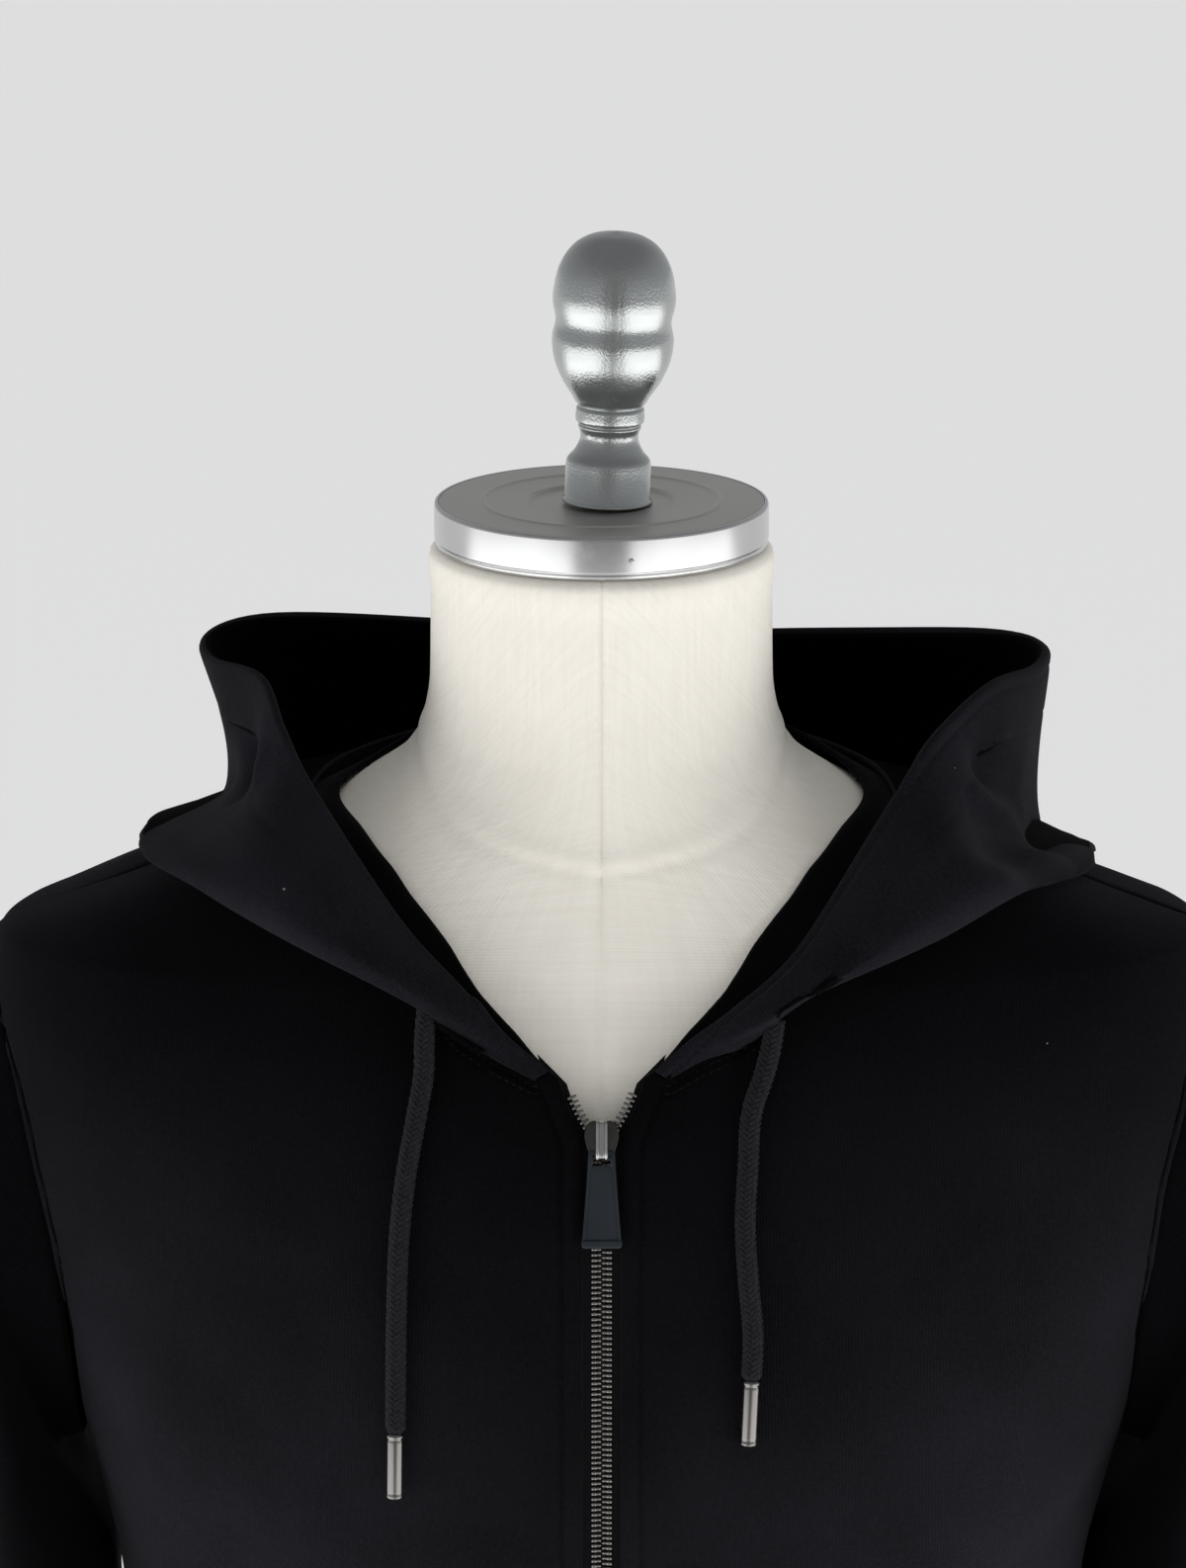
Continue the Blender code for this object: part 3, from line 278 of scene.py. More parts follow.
HOOD_CREASES_RIGHT = crease_rows(IN_SPACE, [
    (1417, -216, 9654, 1406, -306, 9537, 1560, 60, 9343, 110, -110),
    (1330, -415, 9525, 1430, -321, 9462, 1599, 214, 9219, 55, 30),
    (1302, -498, 9474, 1421, -381, 9399, 1562, -191, 9284, 60, -20),
    (1412, -752, 9268, 1584, -312, 9226, 1781, 207, 9123, 75, 26),
    (1332, -760, 9326, 1550, -291, 9270, 1738, 238, 9139, 65, -22),
    (855, -1079, 9011, 1016, -1016, 9083, 1242, -880, 9136, 60, -12),
    (1120, -837, 9318, 1230, -727, 9398, 1341, -417, 9503, 80, 12),
    (953, -965, 9152, 1125, -898, 9248, 1255, -765, 9363, 80, -12),
    (1000, 1700, 9000, 600, 1900, 8700, 200, 1980, 8750, 110, -45),
    (1350, 1450, 9350, 1150, 1650, 9000, 850, 1800, 8500, 90, 30),
])

# ---- curves, and the form of the cut pieces ----
SIDE_ROWS, ARMHOLE_ROWS, SHOULDER_ROWS = 7, 8, 4
PANEL_ROWS = SIDE_ROWS + ARMHOLE_ROWS + SHOULDER_ROWS


def smooth(keys, values, at, steady=False):
    """Values on the smooth curve through all values. A steady curve never swings past them."""
    keys, values, at = (np.asarray(part, float) for part in (keys, values, at))
    flat = values.ndim == 1
    values = values[:, None] if flat else values
    gaps = np.diff(keys)[:, None]
    rises = np.diff(values, axis=0) / gaps
    before, after, rise_in, rise_out = gaps[:-1], gaps[1:], rises[:-1], rises[1:]
    if steady:
        near, far = 2 * after + before, after + 2 * before
        with np.errstate(divide="ignore", invalid="ignore"):
            middle = (near + far) / (near / rise_in + far / rise_out)
        middle = np.where(rise_in * rise_out > 0, middle, 0.0)
    else:
        middle = (rise_in * after + rise_out * before) / (before + after)
    slopes = np.concatenate([rises[:1], middle, rises[-1:]])
    at = np.clip(at, keys[0], keys[-1])
    i = np.clip(np.searchsorted(keys, at, side="left") - 1, 0, len(keys) - 2)
    width = (keys[i + 1] - keys[i])[..., None]
    t = (at - keys[i])[..., None] / width
    result = (values[i] * (2 * t**3 - 3 * t**2 + 1) + slopes[i] * (width * (t**3 - 2 * t**2 + t))
              + values[i + 1] * (3 * t**2 - 2 * t**3) + slopes[i + 1] * (width * (t**3 - t**2)))
    return result[..., 0] if flat else result


def column(rows, key, name, at):
    """One column of a table, read smoothly at any value of its key column."""
    return smooth([getattr(row, key) for row in rows], [getattr(row, name) for row in rows], at, steady=True)


def unit(vectors):
    return vectors / np.maximum(np.linalg.norm(vectors, axis=-1, keepdims=True), 1e-12)


def ring_point(table, angle, z):
    """Points of a ringed form: the angle turns from the front's middle towards +X."""
    angle, z = np.broadcast_arrays(np.asarray(angle, float), np.asarray(z, float))
    power = 2.0 / column(table, "z", "square", z)
    side, ahead = np.sin(angle), np.cos(angle)
    depth = np.where(ahead > 0, column(table, "z", "front", z), column(table, "z", "back", z))
    x = column(table, "z", "half_width", z) * np.sign(side) * np.abs(side) ** power
    y = -depth * np.sign(ahead) * np.abs(ahead) ** power
    return np.stack([x, y, z], axis=-1)


def ring_out(table, angle, z):
    turn, rise = 0.01, 0.0015
    across = ring_point(table, angle + turn, z) - ring_point(table, angle - turn, z)
    up = ring_point(table, angle, z + rise) - ring_point(table, angle, z - rise)
    return unit(np.cross(across, up))


def angle_at_x(x, z):
    """The body's angle where its front is x from the middle."""
    ratio = np.clip(x / column(BODY, "z", "half_width", z), 0.0, 1.0)
    return np.arcsin(ratio ** (column(BODY, "z", "square", z) / 2))


def angle_at_depth(depth, z, face):
    """The body's angle where it is this far from its side seam, towards a face."""
    ratio = np.clip(depth / column(BODY, "z", face, z), 0.0, 1.0)
    return math.pi / 2 - np.arcsin(ratio ** (column(BODY, "z", "square", z) / 2))


def edge_height(v):
    """Height along a panel's outer edge: side seam, then armhole, then shoulder seam."""
    row = np.asarray(v, float) * PANEL_ROWS
    side = HEM_Z + (ARMHOLE_BOTTOM_Z - HEM_Z) * row / SIDE_ROWS
    hole = ARMHOLE_Z - ARMHOLE_HALF * np.cos(math.pi * (row - SIDE_ROWS) / ARMHOLE_ROWS)
    top = ARMHOLE_TOP_Z + (NECK_POINT_Z - ARMHOLE_TOP_Z) * (row - SIDE_ROWS - ARMHOLE_ROWS) / SHOULDER_ROWS
    return np.where(row <= SIDE_ROWS, side, np.where(row <= SIDE_ROWS + ARMHOLE_ROWS, hole, top))


def armhole_reach(z):
    rise = (z - ARMHOLE_Z) / ARMHOLE_HALF
    return np.sqrt(np.clip(1.0 - rise * rise, 0.0, 1.0))


def panel_point(angle_of, v, edge_angle):
    """Angle and height of a panel's points: each column runs from the hem up to the neckline."""
    share = (edge_height(v) - HEM_Z) / (NECK_POINT_Z - HEM_Z)
    top = np.full_like(share, NECK_POINT_Z)
    for _ in range(4):
        degrees = np.degrees(angle_of(math.pi / 2, top))
        top = column(NECKLINE, "degrees", "z", np.minimum(degrees, 360 - degrees))
    z = HEM_Z + share * (top - HEM_Z)
    return angle_of(edge_angle, z), z


def rows_at(shares):
    """Panel rows by share of the outer edge's height, closer together where the armhole turns."""
    fine = np.linspace(0, 1, 4001)
    level = np.interp(HEM_Z + (NECK_POINT_Z - HEM_Z) * shares, edge_height(fine), fine)
    return (level + shares) / 2


def front_grid(us, vs):
    """The front panel on the +X side, as points and their way out: a row for each v."""
    u, v = np.meshgrid(us, vs)
    edge_z = edge_height(v)
    edge_angle = angle_at_depth(ARMHOLE_FRONT * armhole_reach(edge_z), edge_z, "front")

    def angle_of(outer, z):
        inner = angle_at_x(column(ZIP, "z", "edge", z), z)
        return inner + (math.pi / 2 - inner) * u ** 1.4 + (outer - math.pi / 2) * u ** 7

    angle, z = panel_point(angle_of, v, edge_angle)
    return ring_point(BODY, angle, z), ring_out(BODY, angle, z)


def back_grid(us, vs):
    u, v = np.meshgrid(us, vs)
    edge_z = edge_height(v)
    edge_angle = math.pi - angle_at_depth(ARMHOLE_BACK * armhole_reach(edge_z), edge_z, "back")

    def angle_of(outer, _z):
        return math.pi * (0.5 + u) + (outer - math.pi / 2) * ((1 - u) ** 12 - u ** 12)

    angle, z = panel_point(angle_of, v, edge_angle)
    return ring_point(BODY, angle, z), ring_out(BODY, angle, z)


def front_point(x, z, depth=0.0):
    """A point on the front, this far behind the cloth's face."""
    angle = angle_at_x(np.abs(x), z)
    point = ring_point(BODY, angle, z) - ring_out(BODY, angle, z) * np.asarray(depth)[..., None]
    point[..., 0] *= np.where(np.asarray(x) < 0, -1, 1)
    return point


def sleeve_grid(us, vs):
    """The sleeve on the +X side: a row of points for each place from the armhole to the cuff."""
    turn = 2 * math.pi * np.asarray(us)
    high, ahead = np.cos(turn), np.sin(turn)
    z = ARMHOLE_Z + ARMHOLE_HALF * high
    front = ahead > 0
    reach = np.where(front, ARMHOLE_FRONT, ARMHOLE_BACK)
    depth = np.where(front, column(BODY, "z", "front", z), column(BODY, "z", "back", z))
    square = column(BODY, "z", "square", z)
    share = (1 - (np.abs(ahead) * reach / depth) ** square) ** (1 / square)
    first = np.stack([column(BODY, "z", "half_width", z) * share + SLEEVE_GAP, -reach * ahead, z], axis=-1)
    sections = [first]
    for row in SLEEVE:
        tilt = math.radians(row.tilt)
        sections.append(np.stack([row.out + row.half_height * high * math.cos(tilt),
                                  row.back_by - row.half_depth * ahead,
                                  row.z + row.half_height * high * math.sin(tilt)], axis=-1))
    centres = np.array([(row.out, 0, row.z) for row in SLEEVE])
    keys = np.concatenate([[0.0], FIRST_SECTION + lengths(centres, 0)])
    flat = np.array([section.ravel() for section in sections])
    return smooth(keys, flat, np.asarray(vs) * keys[-1]).reshape(len(vs), len(us), 3)


def clear_of_body(points, gap):
    """Moves points out until they are this far from the body's face."""
    def inside(at):
        depth = np.where(at[..., 1] < 0, column(BODY, "z", "front", at[..., 2]),
                         column(BODY, "z", "back", at[..., 2]))
        square = column(BODY, "z", "square", at[..., 2])
        width = column(BODY, "z", "half_width", at[..., 2])
        return (np.abs(at[..., 0] / width) ** square + np.abs(at[..., 1] / depth) ** square) ** (1 / square)

    step = 0.001
    for _ in range(3):
        here = inside(points)
        slope = np.stack([(inside(points + axis * step) - here) / step for axis in np.eye(3)], axis=-1)
        steep = np.linalg.norm(slope, axis=-1)
        short = np.maximum(gap - (here - 1) / steep, 0.0)
        points = points + slope / steep[..., None] * short[..., None]
    return points


def hood_grid(rows, us, vs):
    """Half of the hood on the +X side: from the neck seam (v 0) over the roll to the open rim (v 1)."""
    names = ("under", "roll", "crest", "face", "rim")
    keys = [row.along for row in rows] + [2 * rows[-1].along - rows[-2].along]
    angles = np.radians([row.seam_degrees for row in rows])
    heights = np.array([row.seam_z for row in rows])
    seam = ring_point(BODY, angles, heights) + ring_out(BODY, angles, heights) * 2 * SEAM_GAP
    lines = [seam] + [np.array([getattr(row, name) for row in rows]) for name in names]
    across = []
    for line in lines:
        line = np.vstack([line, line[-2] * (-1, 1, 1)])
        across.append(smooth(keys, line, us))
    across = np.stack(across, axis=1)
    points = np.empty((len(vs), len(us), 3))
    for i, stations in enumerate(across):
        spans = np.concatenate([[0.0], np.cumsum(np.sqrt(np.linalg.norm(np.diff(stations, axis=0), axis=1)))])
        points[:, i] = smooth(spans, stations, np.asarray(vs) * spans[-1])
    rise = np.minimum(np.asarray(vs) / 0.12, 1.0)[:, None]
    gap = 5 * SEAM_GAP + column(rows, "along", "stand", us) * rise
    return clear_of_body(points, gap)


# ---- creases, seams and edges laid over the cut pieces ----
def creased(points, creases):
    """How far the cloth stands out at each point: soft troughs and ridges along drawn lines."""
    rise = np.zeros(points.shape[:-1])
    for crease in creases:
        t = np.linspace(0, 1, 15)[:, None]
        start, middle, end = (np.array(p) for p in (crease.start, crease.middle, crease.end))
        line = (1 - t) ** 2 * start + 2 * t * (1 - t) * middle + t ** 2 * end
        low, high = line.min(axis=0) - 3 * crease.width, line.max(axis=0) + 3 * crease.width
        near = np.all((points > low) & (points < high), axis=-1)
        if not near.any():
            continue
        at = points[near][:, None]
        run = np.diff(line, axis=0)
        share = np.clip(((at - line[:-1]) * run).sum(-1) / (run ** 2).sum(-1), 0, 1)
        gap = np.linalg.norm(at - (line[:-1] + share[..., None] * run), axis=-1)
        first = gap.argmin(axis=1)
        pick = np.arange(len(first))
        along = (first + share[pick, first]) / len(run)
        fade = np.sin(math.pi * np.clip(along, 0.02, 0.98)) ** 0.7
        rise[near] += crease.depth * fade * np.exp(-(gap[pick, first] / crease.width) ** 2)
    return rise


def on_body(creases):
    """Lines drawn by degrees and height, laid on the body's face."""
    placed = []
    for crease in creases:
        degrees, z = np.array(crease[:3], float).T
        placed.append(Crease(*ring_point(BODY, np.radians(degrees), z), crease.width, crease.depth))
    return placed


def on_grid(creases, points):
    """Lines drawn by shares of a grid, laid on its points."""
    last = np.array(points.shape[:2]) - 1
    placed = []
    for crease in creases:
        spots = [tuple(np.rint(np.array(place[::-1]) * last).astype(int)) for place in crease[:3]]
        placed.append(Crease(*(points[spot] for spot in spots), crease.width, crease.depth))
    return placed


def waved(points, size, height, seed):
    """Slow unevenness of soft cloth."""
    rng = np.random.default_rng(seed)
    total = np.zeros(points.shape[:-1])
    for _ in range(7):
        way = rng.normal(size=3)
        way *= 2 * math.pi / size / np.linalg.norm(way) * rng.uniform(0.6, 1.4)
        total += np.sin((points * way).sum(-1) + rng.uniform(0, 2 * math.pi))
    return total * height / 2.6


def ridge(distance, at, width, height):
    return height * np.exp(-((distance - at) / width) ** 2)


def groove(distance, at, width, depth):
    return -ridge(distance, at, width, depth)


def rolled(distance, radius):
    """Drop of an edge that rolls away over its last millimetres."""
    short = radius - np.minimum(distance, radius)
    return np.sqrt(np.maximum(radius ** 2 - short ** 2, 0)) - radius


def lengths(points, axis):
    """Running length along the rows or columns of a grid."""
    steps = np.linalg.norm(np.diff(points, axis=axis), axis=-1)
    zero = np.zeros_like(np.take(steps, [0], axis=axis))
    return np.concatenate([zero, np.cumsum(steps, axis=axis)], axis=axis)


def grid_out(points, closed=False):
    wrap = np.concatenate([points[:, -2:-1], points, points[:, 1:2]], axis=1) if closed else points
    across = np.gradient(wrap, axis=1)
    across = across[:, 1:-1] if closed else across
    return unit(np.cross(across, np.gradient(points, axis=0)))


def mirrored(points, side):
    return points * np.array([side, 1, 1])


# ---- making pieces ----
def put(name, data):
    """A new object in the scene."""
    made = bpy.data.objects.new(name, data)
    bpy.context.scene.collection.objects.link(made)
    return made


def mesh_of(bm, name, soft=True):
    """A bmesh turned into a mesh, smooth all over if soft."""
    mesh = bpy.data.meshes.new(name)
    bm.to_mesh(mesh)
    bm.free()
    mesh.polygons.foreach_set("use_smooth", [soft] * len(mesh.polygons))
    return mesh


def show(bm, name, material, body=BODY_NAME):
    mesh = mesh_of(bm, name)
    piece = put(name, mesh)
    mesh.materials.append(material)
    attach(piece, body)
    return piece


def grid_mesh(points, cut=None, closed=False, flip=False):
    """A bmesh grid drawn over an array of points, with the cloth's own measure as its UV map."""
    rows, columns = points.shape[0] - 1, points.shape[1] - 1
    bm = bmesh.new()
    bmesh.ops.create_grid(bm, x_segments=columns, y_segments=rows, size=1)
    mesh = bpy.data.meshes.new("grid")
    bm.to_mesh(mesh)
    mesh.vertices.foreach_set("co", points.ravel())
    if cut is not None:
        corners = np.empty(len(mesh.loops), dtype=int)
        mesh.loops.foreach_get("vertex_index", corners)
        layer = mesh.uv_layers.new(name="cut")
        layer.data.foreach_set("uv", cut.reshape(-1, 2)[corners].ravel())
    bm.clear()
    bm.from_mesh(mesh)
    bpy.data.meshes.remove(mesh)
    if flip:
        bmesh.ops.reverse_faces(bm, faces=bm.faces[:])
    if closed:
        bmesh.ops.remove_doubles(bm, verts=bm.verts[:], dist=1e-6)
    return bm


def cloth(name, points, cut, material, closed=False, flip=False, thickness=CLOTH, turned_in=None):
    """A cut piece as a thin wall, its face on the points. Rows from turned_in on are folded inside."""
    piece = show(grid_mesh(points, cut, closed, flip), name, material)
    wall = piece.modifiers.new("wall", "SOLIDIFY")
    wall.thickness, wall.offset = thickness, -1.0
    if turned_in:
        # the rows turned inside take the jersey painted darker as shade
        piece.data.materials.append(inside_jersey_painted_shade)
        wall.material_offset = 1
        for face in piece.data.polygons[turned_in * (points.shape[1] - 1):]:
            face.material_index = 1
    return piece


def spun(name, profile, steps, material, place=Matrix()):
    """A turned piece: its profile as (radius, z) goes once round its own Z."""
    bm = bmesh.new()
    verts = [bm.verts.new((r, 0, z)) for r, z in profile]
    edges = [bm.edges.new(pair) for pair in zip(verts, verts[1:])]
    bmesh.ops.spin(bm, geom=verts + edges, cent=(0, 0, 0), axis=(0, 0, 1), angle=2 * math.pi,
                   steps=steps, use_merge=True, use_duplicate=False)
    bmesh.ops.remove_doubles(bm, verts=bm.verts[:], dist=1e-6)
    bmesh.ops.dissolve_degenerate(bm, edges=bm.edges[:], dist=1e-7)
    bmesh.ops.recalc_face_normals(bm, faces=bm.faces[:])
    bmesh.ops.transform(bm, matrix=place, verts=bm.verts[:])
    return show(bm, name, material)


def repeated(name, shape, places, material):
    """One small shape at every place, as one piece."""
    bm = bmesh.new()
    for place in places:
        copy = shape.copy()
        copy.transform(place)
        bm.from_mesh(copy)
        bpy.data.meshes.remove(copy)
    return show(bm, name, material)


def frames_along(points, outs):
    """At each point of a line: X along it, Z out of the cloth."""
    ahead = unit(np.gradient(points, axis=0))
    side = unit(np.cross(outs, ahead))
    up = np.cross(ahead, side)
    return ahead, side, up


def place_of(point, x, y, z):
    """The matrix that moves a small shape to a point and turns it to three axes."""
    matrix = Matrix.Identity(4)
    for i, axis in enumerate((x, y, z)):
        matrix.col[i][:3] = axis
    matrix.translation = Vector(point)
    return matrix


def spaced(points, pitch, start=0.0):
    """Where a line is cut into equal steps, as fractional indices."""
    run = lengths(points, 0)
    marks = np.arange(start + pitch / 2, run[-1] - pitch / 3, pitch)
    return np.interp(marks, run, np.arange(len(points)))


def at_index(values, index):
    low = np.clip(index.astype(int), 0, len(values) - 2)
    share = (index - low)[:, None]
    return values[low] * (1 - share) + values[low + 1] * share


def thread_shape(length, radius, bow):
    """One stitch: a short thread that dips at both ends."""
    bm = bmesh.new()
    bmesh.ops.create_cone(bm, cap_ends=False, segments=5, radius1=radius, radius2=radius, depth=length)
    bmesh.ops.rotate(bm, cent=(0, 0, 0), matrix=Matrix.Rotation(math.pi / 2, 3, "Y"), verts=bm.verts[:])
    along = [e for e in bm.edges if abs(e.verts[0].co.x - e.verts[1].co.x) > length / 2]
    bmesh.ops.subdivide_edges(bm, edges=along, cuts=3, use_grid_fill=True)
    for vert in bm.verts:
        far = abs(vert.co.x) / (length / 2)
        vert.co.z -= bow * far ** 3
    return mesh_of(bm, "stitch")


def stitched(name, lines, pitch, length, radius, material, stand=0.00005):
    """Rows of stitches along lines of (points, outs)."""
    shape = thread_shape(length, radius, radius * 1.6)
    places = []
    for points, outs in lines:
        ahead, side, up = frames_along(points, outs)
        index = spaced(points, pitch)
        for p, a, s, n in zip(at_index(points, index), at_index(ahead, index), at_index(side, index),
                              at_index(up, index)):
            places.append(place_of(p + n * stand, a, s, n))
    return repeated(name, shape, places, material)


# ---- materials ----
class Shade:
    """A material's nodes, made and joined with short calls."""

    def __init__(self, name, **values):
        self.material = bpy.data.materials.new(name)
        self.material.use_nodes = True
        tree = self.material.node_tree
        self.nodes, self.links = tree.nodes, tree.links
        self.surface = self.nodes["Principled BSDF"]
        self.set(self.surface, values)

    def set(self, node, values):
        for name, value in values.items():
            self.feed(node.inputs[name.replace("_", " ")], value)

    def feed(self, socket, value):
        """Joins a socket to another, or gives it a plain value."""
        if isinstance(value, bpy.types.NodeSocket):
            self.links.new(value, socket)
        else:
            socket.default_value = value

    def node(self, kind, settings=None, **values):
        made = self.nodes.new("ShaderNode" + kind)
        for name, value in (settings or {}).items():
            setattr(made, name, value)
        self.set(made, values)
        return made

    def place(self, uv=None):
        if uv:
            return self.node("UVMap", {"uv_map": uv}).outputs["UV"]
        return self.node("TexCoord").outputs["Object"]

    def stretch(self, vector, scale):
        return self.node("Mapping", Vector=vector, Scale=scale).outputs["Vector"]

    def maths(self, operation, first, second=0.0):
        made = self.node("Math", {"operation": operation})
        for socket, value in zip(made.inputs, (first, second)):
            self.feed(socket, value)
        return made.outputs[0]

    def weighed(self, *parts):
        """The sum of values, each times its share."""
        total = None
        for value, share in parts:
            part = self.maths("MULTIPLY", value, share)
            total = part if total is None else self.maths("ADD", total, part)
        return total

    def bands(self, vector, way, scale, distortion, detail_scale):
        """Fine yarn lines across one way of the cloth."""
        return self.node("TexWave", {"bands_direction": way}, Vector=vector, Scale=scale,
                         Distortion=distortion, Detail=2.0, Detail_Scale=detail_scale).outputs["Fac"]

    def noise(self, vector, scale, detail=3.0, roughness=0.55):
        return self.node("TexNoise", Vector=vector, Scale=scale, Detail=detail,
                         Roughness=roughness).outputs["Fac"]

    def fit(self, value, low, high, to_low=0.0, to_high=1.0):
        made = self.node("MapRange", Value=value)
        for socket, number in zip(list(made.inputs)[1:5], (low, high, to_low, to_high)):
            socket.default_value = number
        return made.outputs[0]

    def blend(self, share, first, second):
        made = self.node("Mix", {"data_type": "RGBA"})
        for place, value in ((0, share), (6, first), (7, second)):
            self.feed(made.inputs[place], value)
        return made.outputs[2]

    def bump(self, height, distance, strength=1.0):
        return self.node("Bump", Height=height, Distance=distance, Strength=strength).outputs["Normal"]

    def finished(self, **values):
        self.set(self.surface, values)
        return self.material


def knit(name, dark, pale, sheen, lint=True, wear_and_painted_light=False):
    """Brushed jersey: fine wales and courses, a short nap, and a speck of lint here and there."""
    shade = Shade(name, Roughness=0.92, Sheen_Weight=sheen, Sheen_Roughness=0.42,
                  Sheen_Tint=(0.80, 0.80, 0.92, 1), Specular_IOR_Level=0.03)
    cut, space = shade.place("cut"), shade.place()
    wales = shade.bands(cut, "X", 250.0, 1.6, 1.5)
    courses = shade.bands(cut, "Y", 330.0, 2.0, 1.5)
    nap = shade.noise(space, 900.0, 4.0, 0.7)
    pile = shade.noise(space, 240.0, 3.0, 0.6)
    cloud = shade.noise(space, 14.0, 3.0, 0.55)
    height = shade.weighed((wales, 0.35), (courses, 0.2), (nap, 0.8), (pile, 0.9))
    tone = shade.weighed((nap, 0.55), (cloud, 0.45))
    colour = shade.blend(shade.fit(tone, 0.34, 0.66), dark, pale)
    # painted light: the colour is scaled darker high on the chest and shoulders, and lighter lower down and
    # towards the sides, where the light falls
    if wear_and_painted_light:
        apart = shade.node("SeparateXYZ", Vector=space).outputs
        painted_light_by_height = shade.fit(apart["Z"], 0.880, 0.665, 0.24, 1.06)
        outer = shade.fit(shade.maths("ABSOLUTE", apart["X"]), 0.02, 0.18, 1.1, 1.9)
        power = shade.maths("MULTIPLY", painted_light_by_height, outer)
        colour = shade.node("VectorMath", {"operation": "SCALE"}, Vector=colour, Scale=power).outputs[0]
    if lint:
        cell = shade.node("TexVoronoi", Vector=space, Scale=62.0, Randomness=1.0)
        speck = shade.maths("LESS_THAN", cell.outputs["Distance"], 0.030)
        draw = shade.node("SeparateColor", Color=cell.outputs["Color"]).outputs[0]
        chosen = shade.maths("GREATER_THAN", draw, 0.93)
        colour = shade.blend(shade.maths("MULTIPLY", speck, chosen), colour, (0.16, 0.15, 0.14, 1))
    return shade.finished(Base_Color=colour, Normal=shade.bump(height, 0.00035, 0.8),
                          Roughness=shade.fit(cloud, 0.3, 0.7, 0.86, 0.97))


def woven_canvas(name):
    """Cream linen-cotton canvas with slubs in both yarns."""
    shade = Shade(name, Roughness=0.86, Sheen_Weight=0.08, Specular_IOR_Level=0.25)
    space = shade.place("cut")
    warp = shade.bands(space, "X", 290.0, 1.4, 3.0)
    weft = shade.bands(space, "Y", 260.0, 1.4, 3.0)
    slub_up = shade.noise(shade.stretch(space, (420.0, 28.0, 1.0)), 1.0, 2.0)
    slub_across = shade.noise(shade.stretch(space, (24.0, 380.0, 1.0)), 1.0, 2.0)
    slubs = shade.maths("ADD", slub_up, slub_across)
    weave = shade.maths("MULTIPLY", shade.maths("ADD", warp, weft), 0.35)
    height = shade.maths("ADD", weave, shade.maths("MULTIPLY", slubs, 0.8))
    stain = shade.noise(shade.place(), 9.0, 3.0)
    tone = shade.weighed((slubs, 0.3), (stain, 0.4))
    colour = shade.blend(shade.fit(tone, 0.36, 0.66), CANVAS_SHADE, CANVAS_LIGHT)
    return shade.finished(Base_Color=colour, Normal=shade.bump(height, 0.00014, 0.7))


def bare_metal(name, colour, roughness, brushed=0.0, wear=0.03, crackle=0.0):
    """Metal whose roughness and tone vary; brushed metal has fine rings round its own middle."""
    shade = Shade(name, Metallic=1.0)
    space = shade.place()
    smear = shade.noise(space, 60.0, 4.0, 0.6)
    fine = shade.noise(space, 1400.0, 2.0)
    rough = shade.maths("ADD", shade.fit(smear, 0.3, 0.7, roughness - wear, roughness + wear),
                        shade.maths("MULTIPLY", fine, 0.03))
    values = {"Roughness": rough,
              "Base_Color": shade.blend(smear, tuple(c * 0.86 for c in colour) + (1,), colour + (1,))}
    if crackle:
        cells = shade.node("TexVoronoi", {"feature": "DISTANCE_TO_EDGE"}, Vector=space,
                           Scale=620.0).outputs[0]
        pits = shade.maths("ADD", shade.fit(cells, 0.0, 0.22), shade.noise(space, 900.0, 4.0, 0.65))
        values["Normal"] = shade.bump(pits, crackle, 1.0)
    if brushed:
        rings = shade.node("TexWave", {"wave_type": "RINGS", "rings_direction": "Z"}, Vector=space,
                           Scale=420.0, Distortion=1.5, Detail=3.0, Detail_Scale=2.0).outputs["Fac"]
        scratch = shade.noise(shade.stretch(space, (900.0, 900.0, 30.0)), 1.0, 3.0)
        values["Normal"] = shade.bump(shade.maths("ADD", rings, scratch), 0.00004, brushed)
    return shade.finished(**values)


def yarn(name, dark, pale, twist):
    shade = Shade(name, Roughness=0.8, Sheen_Weight=0.06, Sheen_Roughness=0.4, Specular_IOR_Level=0.16)
    space = shade.place()
    fibre = shade.noise(shade.stretch(space, (twist, twist, twist * 0.4)), 1.0, 4.0, 0.7)
    fuzz = shade.noise(space, 3500.0, 2.0)
    colour = shade.blend(shade.fit(fibre, 0.3, 0.7), dark, pale)
    return shade.finished(Base_Color=colour, Normal=shade.bump(shade.maths("ADD", fibre, fuzz), 0.0002, 0.8))


def twill_tape(name):
    shade = Shade(name, Roughness=0.82, Sheen_Weight=0.03, Specular_IOR_Level=0.12)
    ribs = shade.node("TexWave", {"bands_direction": "DIAGONAL"}, Vector=shade.place("cut"), Scale=520.0,
                      Distortion=0.6).outputs["Fac"]
    colour = shade.blend(ribs, (0.0012, 0.0012, 0.0016, 1), (0.0042, 0.0042, 0.0050, 1))
    return shade.finished(Base_Color=colour, Normal=shade.bump(ribs, 0.0002, 0.8))


def moulded(name, dark, pale, roughness):
    shade = Shade(name, Specular_IOR_Level=0.30)
    space = shade.place()
    grain, wear_and_painted_light = shade.noise(space, 1800.0, 3.0, 0.6), shade.noise(space, 90.0, 3.0)
    colour = shade.blend(shade.fit(wear_and_painted_light, 0.3, 0.7), dark, pale)
    return shade.finished(Base_Color=colour, Normal=shade.bump(grain, 0.00006, 0.6),
                          Roughness=shade.fit(wear_and_painted_light, 0.3, 0.7, roughness - 0.06, roughness + 0.08))


